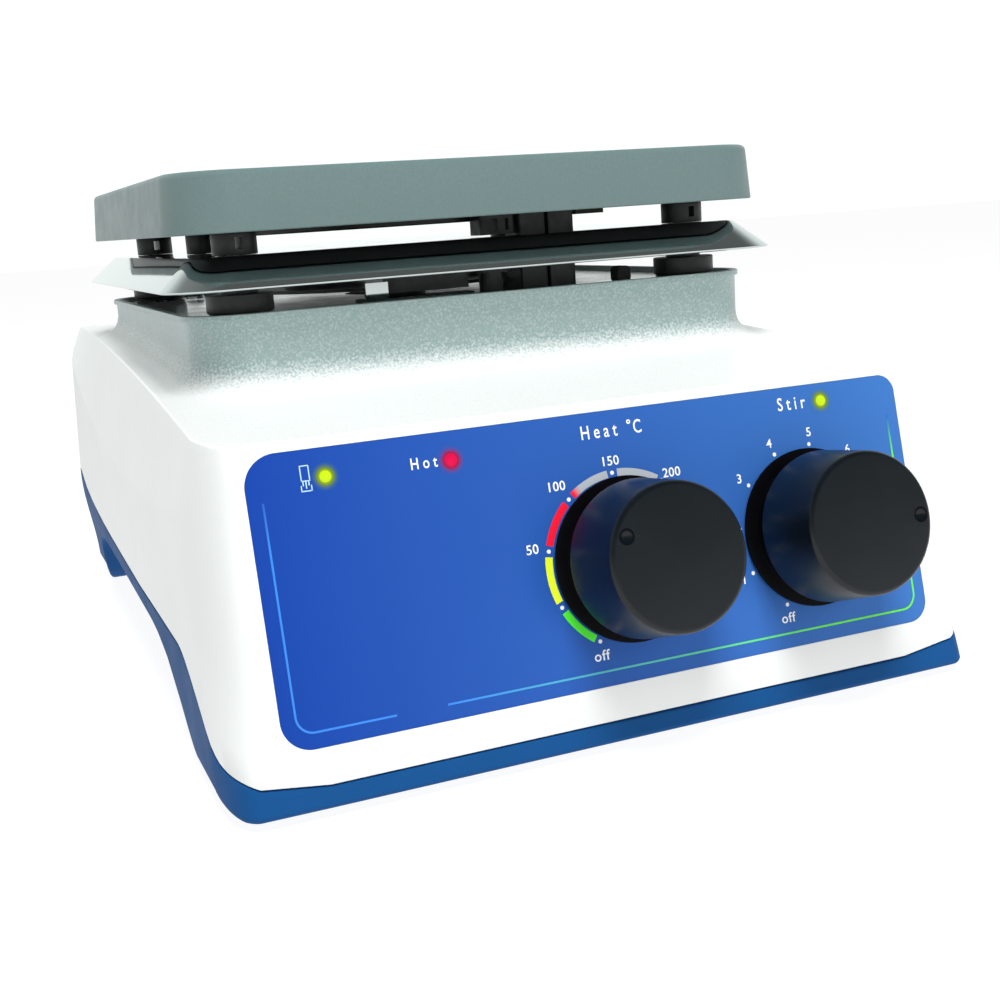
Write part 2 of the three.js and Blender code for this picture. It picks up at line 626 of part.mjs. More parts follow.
// A knob, turned about the panel's normal, with a round pointer dimple near the edge of its face.
function knob(pointer) {
  const bevel = 0.5;
  const body = turned([
    [0, KNOB_FACE - 3],
    [SHAFT_RADIUS + GAP, KNOB_FACE - 3],
    [SHAFT_RADIUS + GAP, KNOB_BASE],
    [KNOB_BASE_RADIUS - 0.4, KNOB_BASE],
    [KNOB_BASE_RADIUS, KNOB_BASE + 0.4],
    [KNOB_FACE_RADIUS, KNOB_FACE - bevel],
    [KNOB_FACE_RADIUS - bevel, KNOB_FACE],
    [0, KNOB_FACE],
  ], 48);
  const dimple = new THREE.SphereGeometry(1.7, 14, 10);
  const x = POINTER_DISTANCE * Math.cos(pointer);
  const y = POINTER_DISTANCE * Math.sin(pointer);
  return cut(body, dimple.translate(x, y, KNOB_FACE + 0.5));
}

for (const [name, x] of Object.entries(KNOBS)) {
  const pointer = name === 'heat' ? HEAT_POINTER : STIR_POINTER;
  const place = (mesh) => mesh.position.set(x, KNOB_HEIGHT_ON_PANEL, 0);
  place(piece(name + '_knob', knob(pointer), blackPlastic, panelFrame));
  const ring = turnedRing([[5.4, GAP], [17.3, GAP], [17.3, 1.2], [14.6, 1.2], [14.6, KNOB_BASE - GAP], [5.4, KNOB_BASE - GAP]], 48);
  place(piece(name + '_knob_skirt', ring, blackPlastic, panelFrame));
  place(piece(name + '_shaft', rod(SHAFT_RADIUS, 2.6, KNOB_FACE - 3.3, 16), steel, panelFrame));
  const pot = turned([[0, -13], [8.2, -13], [8.2, -3.2], [BUSH_RADIUS, -3.2], [BUSH_RADIUS, 2.3], [0, 2.3]], 20);
  place(piece(name + '_potentiometer', pot, aluminium, panelFrame));
}
piece('control_board', tile(0, 29, 136, 46, 1, -15, -13.4, 2), boardGreen, panelFrame);

// ---------------------------------------------------------------- power electronics and rear sockets
piece('power_board', tile(-53, 0, 44, 100, 1, BOARD_Z, BOARD_Z + 1.6, 2), boardGreen);

// The inlet is built lying down, mouth up, and then stood up so that its mouth faces the rear.
const upright = (geometry, x, z) => geometry.rotateX(-Math.PI / 2).translate(x, rearAt(z) + GAP + 0.3, z);
const CAVITY_DEPTH = 16;

function mainsInlet() {
  const body = joined(tile(0, 0, 31, 24, 3, 0, 2, 3), tile(0, 0, 26.8, 20, 2, -20, 1, 3));
  const mouth = tile(0, 0, 24, 16, 2.5, 2 - CAVITY_DEPTH, 5, 3);
  return cut(body, mouth);
}
piece('mains_inlet', upright(mainsInlet(), INLET_X, INLET_Z), blackPlastic);
const socket = turned([
  [0, -14],
  [7, -14],
  [7, 0],
  [8.6, 0],
  [8.6, 1.6],
  [4.6, 1.6],
  [4.6, -7],
  [0, -7],
], 24);
piece('probe_socket', upright(socket, PROBE_X, INLET_Z), blackPlastic);

const bossZ = deckAt(BOSS_Y + 10) + GAP;
const rodBoss = turned([
  [0, 58],
  [6.8, 58],
  [6.8, bossZ],
  [9.6, bossZ],
  [9.6, bossZ + 2],
  [9, bossZ + 2.6],
  [5.1, bossZ + 2.6],
  [5.1, 62],
  [0, 62],
], 28);
piece('rod_boss', rodBoss.translate(BOSS_X, BOSS_Y, 0), aluminium);

// ---------------------------------------------------------------- frame
// Each knob's axis is the panel's normal, so the lowest front point of the object is on a knob's rim.
const box = new THREE.Box3().setFromObject(object, true);
stirrer.position.y = -(box.min.y + box.max.y) / 2;

export default object;
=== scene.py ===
"""Looks for the hotplate stirrer. Lengths are millimetres in the plate's frame: X across, -Y the front, Z up,
with the plate's centre at X = Y = 0. TO_ROW turns them into metres in the row frame."""
import math

import bmesh
import bpy
import numpy as np
from mathutils import Matrix, Vector


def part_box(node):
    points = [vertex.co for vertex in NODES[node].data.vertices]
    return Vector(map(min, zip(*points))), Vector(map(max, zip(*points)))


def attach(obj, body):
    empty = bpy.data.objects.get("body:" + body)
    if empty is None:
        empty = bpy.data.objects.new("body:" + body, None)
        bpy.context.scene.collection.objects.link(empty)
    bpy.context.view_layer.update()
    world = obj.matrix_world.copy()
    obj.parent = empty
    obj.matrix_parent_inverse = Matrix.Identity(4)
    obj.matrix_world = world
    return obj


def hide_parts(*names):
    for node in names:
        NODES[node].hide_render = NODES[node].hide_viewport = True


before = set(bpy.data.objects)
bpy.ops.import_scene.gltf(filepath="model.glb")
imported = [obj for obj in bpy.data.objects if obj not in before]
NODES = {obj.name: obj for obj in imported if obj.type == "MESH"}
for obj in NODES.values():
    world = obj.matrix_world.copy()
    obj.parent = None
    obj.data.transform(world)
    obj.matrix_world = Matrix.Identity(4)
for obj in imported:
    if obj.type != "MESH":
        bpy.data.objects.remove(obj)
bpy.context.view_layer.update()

MM = 0.001
plate_low, plate_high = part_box("top_plate")
PLATE_CENTRE_Y = (plate_low.y + plate_high.y) / 2
TO_ROW = Matrix.Translation((0, PLATE_CENTRE_Y, 0)) @ Matrix.Scale(MM, 4)
HERE = Matrix.Identity(4)

# ---------------- driving dimensions
PLATE_HALF = 75
PLATE_RADIUS = 14
PLATE_DRAFT = 0.9
PLATE_TOP = 122.4
PLATE_BOTTOM = 109
BODY_HALF = 86
WIDEST_Z = 8
SIDE_TAPER = 0.047
FRONT_TILT = math.radians(12.94)
REAR_Y = 110
REAR_TAPER = 0.03
FRONT_CORNER = (8, 28)
FRONT_CORNER_FOOT = (6, 14)
REAR_CORNER = (7, 7)
PANEL_WIDTH = 149
PANEL_HEIGHT = 56.1
PANEL_CORNERS = (4.0, 6.5, 6.0, 4.8)
PANEL_SHEET = 1.0
PANEL_FOOT = (0, -133.7, 13.4)
DECK_Z = 78.35
DECK_SLOPE = 0.0475
DECK_BEND = 0.00018
COLLAR_HALF = 71.4
COLLAR_CORNER = 13
COLLAR_FILLET = 6.5
RIM_OVERHANG = 0.8
RIM_TOP = 91.4
FLOOR_TOP = 90
FLOOR_SHEET = 1.3
TRAY_TOP = 104
SUPPORT = 58.3
KNOB_UP = 25
KNOB_X = {"heat": 2.5, "stir": 47.5}
# The heat dial's print sits slightly left of its knob.
DIAL_X = {"heat": 2.2, "stir": 47.5}
POINTER = {"heat": math.radians(153), "stir": 0.0}
POINTER_DISTANCE = 12.2
SENSOR_AT = (-55.3, 0)
TINY = 1e-9
SUPPORTS = {
    "front_left": (-SUPPORT, -SUPPORT),
    "front_right": (SUPPORT, -SUPPORT),
    "rear_left": (-SUPPORT, SUPPORT),
    "rear_right": (SUPPORT, SUPPORT),
}

# The panel's frame: X across, Y up the panel, Z out of it.
ON_PANEL = Matrix.Translation(PANEL_FOOT) @ Matrix.Rotation(math.pi / 2 - FRONT_TILT, 4, "X")


# ---------------- materials
NOISE_RANGE = (0.3, 0.7)
NOISE_ROUGHNESS = 0.55
SMOOTHEST = 0.02
# Painted shadow on the collar under the plate and tray: a grainy grey that fades out down the fillet.
COLLAR_SHADOW_GREY = (0.25, 0.35, 0.34)
COLLAR_SHADOW_SCATTER = 8
COLLAR_SHADOW_SPECKLE = 0.55
COLLAR_SHADOW_PATCHES = (1.1, 0.4)
COLLAR_SHADOW_FADE = (-0.5, 7.0)
# The panel's blue with painted light: darker at the left, lighter at the right where the light falls.
PANEL_SHADED_LEFT = (0.0005, 0.042, 0.31)
PANEL_LIT_RIGHT = (0.042, 0.155, 0.455)
PANEL_PAINTED_LIGHT = (PANEL_SHADED_LEFT, PANEL_LIT_RIGHT, 75, 0.36)


def node(tree, kind, **values):
    made = tree.nodes.new(kind)
    for name, value in values.items():
        if name in made.inputs:
            made.inputs[name].default_value = value
        else:
            setattr(made, name, value)
    return made


def finish(
    name, colour, rough, metal=0.0, grain=None, tint=None, sheen_var=None, coat=None, emission=None,
    specular=0.5
):
    """A procedural finish. grain is (size, height) in mm, tint (size, share), sheen_var (size, spread)."""
    material = bpy.data.materials.new(name)
    material.use_nodes = True
    tree = material.node_tree
    shader = tree.nodes["Principled BSDF"]
    shader.inputs["Base Color"].default_value = (*colour, 1)
    shader.inputs["Roughness"].default_value = rough
    shader.inputs["Metallic"].default_value = metal
    shader.inputs["Specular IOR Level"].default_value = specular
    if coat:
        shader.inputs["Coat Weight"].default_value = coat[0]
        shader.inputs["Coat Roughness"].default_value = coat[1]
    if emission:
        shader.inputs["Emission Color"].default_value = (*emission[0], 1)
        shader.inputs["Emission Strength"].default_value = emission[1]
    place_node = node(tree, "ShaderNodeTexCoord")

    def noise(size, detail=3.0):
        scale = 1 / (size * MM)
        made = node(tree, "ShaderNodeTexNoise", Scale=scale, Detail=detail, Roughness=NOISE_ROUGHNESS)
        tree.links.new(place_node.outputs["Object"], made.inputs["Vector"])
        return made.outputs["Fac"]

    def spread(value, low, high):
        ramp = node(tree, "ShaderNodeMapRange")
        for socket, number in zip(("From Min", "From Max", "To Min", "To Max"), (*NOISE_RANGE, low, high)):
            ramp.inputs[socket].default_value = number
        tree.links.new(value, ramp.inputs["Value"])
        return ramp.outputs["Result"]

    if tint:
        mix = node(tree, "ShaderNodeMix", data_type="RGBA")
        mix.inputs["A"].default_value = (*[c * (1 - tint[1]) for c in colour], 1)
        mix.inputs["B"].default_value = (*[min(1, c * (1 + tint[1])) for c in colour], 1)
        tree.links.new(spread(noise(tint[0]), 0, 1), mix.inputs["Factor"])
        tree.links.new(mix.outputs["Result"], shader.inputs["Base Color"])
    if sheen_var:
        low, high = max(SMOOTHEST, rough - sheen_var[1]), min(1, rough + sheen_var[1])
        tree.links.new(spread(noise(sheen_var[0]), low, high), shader.inputs["Roughness"])
    if grain:
        bump = node(tree, "ShaderNodeBump", Strength=1.0, Distance=grain[1] * MM)
        tree.links.new(noise(grain[0], detail=4.0), bump.inputs["Height"])
        tree.links.new(bump.outputs["Normal"], shader.inputs["Normal"])
    return material


M = {
    "cast_plate": finish("cast_plate", (0.118, 0.177, 0.176), 0.42, grain=(0.5, 0.02), tint=(0.6, 0.05),
                         sheen_var=(6, 0.05)),
    "bright_steel": finish("bright_steel", (0.55, 0.6, 0.595), 0.05, 1.0, grain=(0.5, 0.0006),
                           sheen_var=(9, 0.02)),
    "white_shell": finish("white_shell", (0.775, 0.795, 0.788), 0.42, grain=(0.45, 0.008), tint=(35, 0.012),
                          sheen_var=(20, 0.04), coat=(0.25, 0.25)),
    "blue_case": finish("blue_case", (0.006, 0.068, 0.222), 0.6, grain=(0.5, 0.012), tint=(30, 0.05),
                        sheen_var=(12, 0.05), specular=0.12),
    "black_plastic": finish("black_plastic", (0.012, 0.013, 0.014), 0.42, grain=(0.4, 0.01), tint=(3, 0.2),
                            sheen_var=(2, 0.08)),
    "black_metal": finish("black_metal", (0.01, 0.011, 0.012), 0.35, grain=(0.6, 0.01), tint=(8, 0.2)),
    "black_rubber": finish("black_rubber", (0.015, 0.015, 0.015), 0.75, grain=(0.5, 0.02), tint=(4, 0.2)),
    "knob_black": finish("knob_black", (0.003, 0.0055, 0.008), 0.33, grain=(0.3, 0.006), tint=(12, 0.12),
                         sheen_var=(8, 0.03), specular=0.4),
    # Near-black and matte: the skirt's own black, and painted shade where its flange lies under the knob.
    "knob_ring": finish("knob_ring", (0.002, 0.002, 0.003), 0.7, grain=(0.4, 0.01), tint=(3, 0.2),
                        specular=0.1),
    "floor_grey": finish("floor_grey", (0.55, 0.57, 0.57), 0.16, 0.4, grain=(9, 0.008), sheen_var=(10, 0.04)),
    "steel": finish("steel", (0.55, 0.56, 0.57), 0.28, 1.0, grain=(0.4, 0.004), sheen_var=(1.5, 0.06)),
    "brass": finish("brass", (0.72, 0.53, 0.24), 0.3, 1.0, grain=(0.5, 0.005), tint=(2, 0.12)),
    "brass_dark": finish("brass_dark", (0.03, 0.034, 0.02), 0.5, 0.6, grain=(0.5, 0.01), tint=(1, 0.3)),
    "aluminium": finish("aluminium", (0.62, 0.63, 0.64), 0.34, 1.0, grain=(0.35, 0.006), sheen_var=(3, 0.06)),
    "mica": finish("mica", (0.45, 0.34, 0.18), 0.5, grain=(2, 0.02), tint=(5, 0.25)),
    "mineral_wool": finish("mineral_wool", (0.8, 0.77, 0.7), 0.95, grain=(1.2, 0.25), tint=(2, 0.1)),
    "magnet": finish("magnet", (0.03, 0.03, 0.034), 0.45, 0.6, grain=(0.3, 0.02), tint=(1, 0.2)),
    "motor_steel": finish("motor_steel", (0.5, 0.51, 0.52), 0.3, 1.0, grain=(0.6, 0.006),
                          sheen_var=(4, 0.08)),
    "circuit_board": finish("circuit_board", (0.02, 0.12, 0.05), 0.35, grain=(1.5, 0.02), tint=(3, 0.3)),
    "lens_green": finish("lens_green", (0.1, 0.12, 0.005), 0.5, grain=(0.6, 0.01), tint=(1, 0.1),
                         emission=((0.55, 0.8, 0.006), 1.0), specular=0.2),
    "lens_red": finish("lens_red", (0.1, 0.002, 0.01), 0.5, grain=(0.6, 0.01), tint=(1, 0.1),
                       emission=((0.75, 0.001, 0.07), 1.0), specular=0.2),
    "print_white": finish("print_white", (0.85, 0.87, 0.9), 0.5, grain=(0.3, 0.002), tint=(1.5, 0.03)),
}


def painted(name, rough=0.45):
    """A print whose colour comes from the mesh's own colours, with a fine grain."""
    material = finish(name, (1, 1, 1), rough, grain=(0.3, 0.002), sheen_var=(2, 0.04))
    tree = material.node_tree
    colours = node(tree, "ShaderNodeVertexColor", layer_name="print")
    tree.links.new(colours.outputs["Color"], tree.nodes["Principled BSDF"].inputs["Base Color"])
    return material


M["print_colours"] = painted("print_colours")


def paint_collar_shadow(material, low, high):
    """Paints shadow on the shell: its white turns to a grainy grey where it rises from the deck, from low to
    high mm above it, where the plate and tray above shade the collar.
    """
    tree = material.node_tree
    shader = tree.nodes["Principled BSDF"]
    white_source = shader.inputs["Base Color"].links[0].from_socket
    coordinates = node(tree, "ShaderNodeTexCoord")
    split = node(tree, "ShaderNodeSeparateXYZ")
    tree.links.new(coordinates.outputs["Object"], split.inputs["Vector"])

    def math_node(operation, first, *rest):
        made = node(tree, "ShaderNodeMath", operation=operation)
        for socket, value in zip(made.inputs, (first, *rest)):
            if isinstance(value, (int, float)):
                socket.default_value = value
            else:
                tree.links.new(value, socket)
        return made.outputs["Value"]

    back = math_node("SUBTRACT", split.outputs["Y"], PLATE_CENTRE_Y)
    bend = math_node("MULTIPLY", math_node("MULTIPLY", back, back), -DECK_BEND / MM)
    deck = math_node("ADD", math_node("MULTIPLY_ADD", back, DECK_SLOPE, DECK_Z * MM), bend)
    height = math_node("SUBTRACT", split.outputs["Z"], deck)
    speckle = node(tree, "ShaderNodeTexNoise", Scale=1 / (COLLAR_SHADOW_SPECKLE * MM), Detail=2.0, Roughness=0.7)
    tree.links.new(coordinates.outputs["Object"], speckle.inputs["Vector"])
    swing = COLLAR_SHADOW_SCATTER * MM
    scatter = math_node("MULTIPLY_ADD", speckle.outputs["Fac"], swing, -swing / 2)
    ramp = node(tree, "ShaderNodeMapRange", interpolation_type="SMOOTHSTEP")
    ramp.inputs["From Min"].default_value = low * MM
    ramp.inputs["From Max"].default_value = high * MM
    tree.links.new(math_node("ADD", height, scatter), ramp.inputs["Value"])
    mix = node(tree, "ShaderNodeMix", data_type="RGBA")
    patchy = math_node("MULTIPLY_ADD", speckle.outputs["Fac"], *COLLAR_SHADOW_PATCHES)
    tree.links.new(math_node("MULTIPLY", ramp.outputs["Result"], patchy), mix.inputs["Factor"])
    tree.links.new(white_source, mix.inputs["A"])
    mix.inputs["B"].default_value = (*COLLAR_SHADOW_GREY, 1)
    tree.links.new(mix.outputs["Result"], shader.inputs["Base Color"])


# Painted shadow on the collar's walls and fillet, where the plate and tray above shade them.
paint_collar_shadow(M["white_shell"], *COLLAR_SHADOW_FADE)


def graded(name, low, high, span, rough):
    """A finish that turns from one colour to another across X, over span mm each side of the middle; on the
    panel it is painted light, darker at the left and lighter at the right.
    """
    material = finish(name, low, rough, grain=(0.35, 0.004), sheen_var=(25, 0.03), specular=0.2)
    tree = material.node_tree
    shader = tree.nodes["Principled BSDF"]
    coordinates = node(tree, "ShaderNodeTexCoord")
    split = node(tree, "ShaderNodeSeparateXYZ")
    ramp = node(tree, "ShaderNodeMapRange")
    ramp.inputs["From Min"].default_value = -span * MM
    ramp.inputs["From Max"].default_value = span * MM
    mix = node(tree, "ShaderNodeMix", data_type="RGBA")
    mix.inputs["A"].default_value = (*low, 1)
    mix.inputs["B"].default_value = (*high, 1)
    tree.links.new(coordinates.outputs["Object"], split.inputs["Vector"])
    tree.links.new(split.outputs["X"], ramp.inputs["Value"])
    tree.links.new(ramp.outputs["Result"], mix.inputs["Factor"])
    tree.links.new(mix.outputs["Result"], shader.inputs["Base Color"])
    return material


# The panel's blue, with painted light across it from left to right.
M["blue_panel"] = graded("blue_panel", *PANEL_PAINTED_LIGHT)


# ---------------- mesh helpers
def add(name, data):
    """A new object with this data, in the scene."""
    obj = bpy.data.objects.new(name, data)
    bpy.context.scene.collection.objects.link(obj)
    return obj


def lerp(a, b, t):
    return a + (b - a) * t


def share(value, low, high):
    """How far a value is from low to high, held between 0 and 1."""
    return min(1.0, max(0.0, (value - low) / (high - low)))


def smooth(t):
    return t * t * (3 - 2 * t)


def build(
    name, verts, faces, material, body="case", at=HERE, replaces=(), slot=None, angle=32, flip=False
):
    """Makes one closed mesh from points, and says what it rides on, replaces and is finished as."""
    mesh = bpy.data.meshes.new(name)
    move = TO_ROW @ at
    mesh.from_pydata([move @ Vector(v) for v in verts], [], faces)
    if flip:
        mesh.flip_normals()
    mesh.validate()
    obj = add(name, mesh)
    obj.data.materials.append(M[material])
    soften(obj, angle)
    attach(obj, body)
    if replaces:
        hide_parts(*replaces)
    return obj


def soften(obj, angle=32):
    """Smooth shading, with edges sharper than the angle left crisp."""
    mesh = obj.data
    mesh.polygons.foreach_set("use_smooth", [True] * len(mesh.polygons))
    mesh.set_sharp_from_angle(angle=math.radians(angle))
    mesh.update()


def loft(rows, closed=False):
    """Faces through rows of equal length, with caps on the first and last, or joined end to end if closed."""
    count = len(rows[0])
    verts = [p for row in rows for p in row]
    faces = []
    total = len(rows)
    for r in range(total if closed else total - 1):
        low = r * count
        high = ((r + 1) % total) * count
        for i in range(count):
            j = (i + 1) % count
            faces.append((low + i, low + j, high + j, high + i))
    if not closed:
        faces.append(tuple(reversed(range(count))))
        faces.append(tuple(range((total - 1) * count, total * count)))
    return verts, faces


def turned(profile, segments=64, about=(0, 0)):
    """A lathe about Z. A point on the axis becomes one vertex. A profile off it at both ends closes."""
    verts, rings = [], []
    for radius, z in profile:
        if radius <= TINY:
            rings.append([len(verts)])
            verts.append((about[0], about[1], z))
        else:
            rings.append(list(range(len(verts), len(verts) + segments)))
            for k in range(segments):
                a = 2 * math.pi * k / segments
                verts.append((about[0] + radius * math.cos(a), about[1] + radius * math.sin(a), z))
    pairs = list(zip(rings, rings[1:]))
    if len(rings[0]) > 1 and len(rings[-1]) > 1:
        pairs.append((rings[-1], rings[0]))
    faces = []
    for low, high in pairs:
        for k in range(segments):
            n = (k + 1) % segments
            if len(low) == 1 and len(high) == 1:
                break
            if len(low) == 1:
                faces.append((low[0], high[n], high[k]))
            elif len(high) == 1:
                faces.append((low[k], low[n], high[0]))
            else:
                faces.append((low[k], low[n], high[n], high[k]))
    return verts, faces


def rounded_profile(points, radius=0.3, steps=3):
    """The profile with each corner off the axis rounded by up to radius."""
    out = []
    count = len(points)
    closed = points[0][0] > TINY and points[-1][0] > TINY
    for i, point in enumerate(points):
        before = points[i - 1] if (i or closed) else None
        after = points[(i + 1) % count] if (i + 1 < count or closed) else None
        if before is None or after is None or point[0] <= TINY:
            out.append(point)
            continue
        p, a, b = Vector(point), Vector(before), Vector(after)
        reach = min(radius, (p - a).length * 0.45, (p - b).length * 0.45)
        if reach < 1e-6:
            out.append(point)
            continue
        start = p + (a - p).normalized() * reach
        end = p + (b - p).normalized() * reach
        for k in range(steps + 1):
            t = k / steps
            q = start * (1 - t) ** 2 + p * 2 * t * (1 - t) + end * t * t
            out.append((q.x, q.y))
    return out


def rounded_square(x0, x1, y0, y1, corner, z, arc=8):
    """A rounded rectangle. corner is one radius, or one for each corner, counted from high X and high Y."""
    radii = corner if isinstance(corner, tuple) else (corner,) * 4
    places = ((x1, y1, -1, -1), (x0, y1, 1, -1), (x0, y0, 1, 1), (x1, y0, -1, 1))
    points = []
    for quarter, (radius, (px, py, inx, iny)) in enumerate(zip(radii, places)):
        for k in range(arc + 1):
            a = math.radians(90 * quarter + 90 * k / arc)
            x = px + radius * (inx + math.cos(a))
            y = py + radius * (iny + math.sin(a))
            points.append((x, y, z))
    return points


def square(half, corner, z, arc=14):
    return rounded_square(-half, half, -half, half, corner, z, arc)


def quarter_turn(steps):
    """The cosine and sine at even steps from 0 to 90 degrees."""
    return [(math.cos(a), math.sin(a)) for a in (math.pi / 2 * k / steps for k in range(steps + 1))]


def slab(x, y, width, height, corner, z0, z1, edge=0.25, arc=6):
    """A rounded slab with its top and bottom edges eased."""
    rows = []
    for z, sign in ((z0, 1), (z1, -1)):
        level = []
        for c, s in quarter_turn(3):
            inset, lift = edge * (1 - s), edge * (1 - c)
            across, along_y = width / 2 - inset, height / 2 - inset
            level.append(rounded_square(x - across, x + across, y - along_y, y + along_y,
                                        max(0.05, corner - inset), z + sign * lift, arc))
        rows += level if sign > 0 else level[::-1]
    return loft(rows)


def merge(*parts):
    verts, faces = [], []
    for v, f in parts:
        start = len(verts)
        verts += v
        faces += [tuple(i + start for i in face) for face in f]
    return verts, faces


def carve(obj, *cutters, angle=28):
    """Cuts each closed shape (verts, faces, matrix) out of obj."""
    for verts, faces, at in cutters:
        mesh = bpy.data.meshes.new("cutter")
        mesh.from_pydata([TO_ROW @ at @ Vector(v) for v in verts], [], faces)
        cutter = add("cutter", mesh)
        modifier = obj.modifiers.new("cut", "BOOLEAN")
        modifier.object = cutter
        modifier.operation = "DIFFERENCE"
        modifier.solver = "EXACT"
        bpy.context.view_layer.update()
        evaluated = obj.evaluated_get(bpy.context.evaluated_depsgraph_get())
        result = bpy.data.meshes.new_from_object(evaluated)
        obj.modifiers.clear()
        old = obj.data
        obj.data = result
        bpy.data.meshes.remove(old)
        bpy.data.objects.remove(cutter)
    soften(obj, angle)


def block(x0, x1, y0, y1, z0, z1):
    verts = [(x, y, z) for z in (z0, z1) for x, y in ((x0, y0), (x1, y0), (x1, y1), (x0, y1))]
    faces = [(3, 2, 1, 0), (4, 5, 6, 7), (0, 1, 5, 4), (1, 2, 6, 5), (2, 3, 7, 6), (3, 0, 4, 7)]
    return verts, faces


# ---------------- case outline
def half_width(z):
    return BODY_HALF - (z - WIDEST_Z) * SIDE_TAPER


def front_at(z):
    return PANEL_FOOT[1] + (z - PANEL_FOOT[2]) * math.tan(FRONT_TILT)


def rear_at(z):
    return REAR_Y - (z - WIDEST_Z) * REAR_TAPER


def deck_at(y):
    return DECK_Z + y * DECK_SLOPE - y * y * DECK_BEND


# Heights of the seam along Y on the sides, along X round the front corners, and of the underside along Y.
SEAM_POINTS = [(-127.6, 10), (-123.8, 10.8), (-118.7, 12.7), (-112.2, 16.1), (-104.7, 19.3), (-100.7, 20.9),
               (-96.7, 22.4), (-92, 23.7), (-87.7, 24.2), (-60, 24.2), (-30, 24.1), (-5, 24.7), (24, 25.5),
               (40, 26.1), (55, 27), (70, 28.2), (85, 30.2), (104, 35)]
SEAM_TURN_POINTS = [(72, 6.15), (74.6, 6.4), (76.1, 6.7), (77.6, 7.1), (79, 7.5), (80.4, 8.1), (81.6, 8.6),
                    (82.8, 9.1), (83.8, 9.5), (84.7, 10)]
UNDERSIDE_POINTS = [(-145, 1.7), (-134, 1.8), (-128, 2.8), (-122, 3.8), (-103, 3.9), (-99, 4.8), (-94, 6.8),
                    (-87, 9.9), (-79, 12.9), (-71, 15.9), (-64, 17.3), (-58, 18.4), (-50, 19.1), (-38, 19.5),
                    (0, 20.4), (44, 21), (50, 20.4), (55, 18), (59, 13.6), (62, 8.6), (65, 4.8), (67.5, 3.2),
                    (120, 3)]


def along(points, y):
    return float(np.interp(y, [p[0] for p in points], [p[1] for p in points]))


def seam_at(x, y):
    """The housing's lower edge: low across the front, curving up round each corner to the side's curve."""
    return along(SEAM_TURN_POINTS, abs(x)) if y < SEAM_POINTS[0][0] else along(SEAM_POINTS, y)


FACET_LOWEST = 50
FACET_LOWEST_Y = -25


def facet_at(y):
    """The height at which the side's facet begins: a shallow smile that climbs towards both ends."""
    u = y - FACET_LOWEST_Y
    return FACET_LOWEST + 0.00085 * u * u + 2.6e-8 * max(0, u) ** 4


ARC, SIDE, END = 14, 84, 12
# Stations round the outline, counter-clockwise from the front: (part, share along it, outward normal).
STATIONS = []
for part, steps, normal in (
    ("front", END, (0, -1)), ("front_right", ARC, None), ("right", SIDE, (1, 0)), ("rear_right", ARC, None),
    ("rear", END, (0, 1)), ("rear_left", ARC, None), ("left", SIDE, (-1, 0)), ("front_left", ARC, None),
):
    first, last = (1, steps) if normal else (0, steps + 1)
    STATIONS += [(part, k / steps, normal) for k in range(first, last)]
CORNER_START = {"front_right": -90, "rear_right": 0, "rear_left": 90, "front_left": 180}


def station_point(station, half, y0, y1, front, rear):
    """The point of an outline at one station, and its outward normal."""
    part, t, normal = station
    if normal is None:
        a = math.radians(CORNER_START[part] + 90 * t)
        normal = (math.cos(a), math.sin(a))
        reach = front if part.startswith("front") else rear
        cx = (half - reach[0]) * (1 if part.endswith("right") else -1)
        cy = y0 + reach[1] if part.startswith("front") else y1 - reach[1]
        x, y = cx + reach[0] * normal[0], cy + reach[1] * normal[1]
        steep = math.hypot(normal[0] / reach[0], normal[1] / reach[1])
        return x, y, (normal[0] / reach[0] / steep, normal[1] / reach[1] / steep)
    if part == "front":
        return (2 * t - 1) * (half - front[0]), y0, normal
    if part == "rear":
        return (1 - 2 * t) * (half - rear[0]), y1, normal
    low, high = y0 + front[1], y1 - rear[1]
    y = low + (high - low) * (t if part == "right" else 1 - t)
    return half * normal[0], y, normal


def front_corner(z):
    """How far a front corner reaches across and back: tighter near the bench than higher up."""
    t = smooth(share(z, 2, 30))
    return tuple(lerp(low, high, t) for low, high in zip(FRONT_CORNER_FOOT, FRONT_CORNER))


def case_point(station, z):
    return station_point(station, half_width(z), front_at(z), rear_at(z), front_corner(z), REAR_CORNER)


def settle(station, height, z=40.0):
    """The z at which the case's outline meets height(y) at this station."""
    for _ in range(12):
        x, y, _ = case_point(station, z)
        z = height(x, y)
    return z


# ---------------- upper housing
FACET_DEPTHS = [(-107, 1.7), (-7, 3.0), (90, 4.3)]
CREASE_EASE = 0.35
COLLAR_INSIDE = -5.4
SHELL = 2.4
SEAM_GAP = 0.15


def facet_depth(y):
    return along(FACET_DEPTHS, y)


def facet_inset(y, z):
    return facet_depth(y) * share(z, facet_at(y), deck_at(y))


def edge_radius(normal):
    return lerp(0.5, 1.3, normal[1] ** 2)


def wall_point(station, z, inset=0.0):
    """A point of the housing's outside wall, the side facets included, moved in along the normal by inset."""
    x, y, normal = case_point(station, z)
    limit = half_width(z) - facet_inset(y, z)
    if abs(x) > limit:
        x = math.copysign(limit, x)
        normal = (math.copysign(1, x), 0)
    return x - normal[0] * inset, y - normal[1] * inset, z


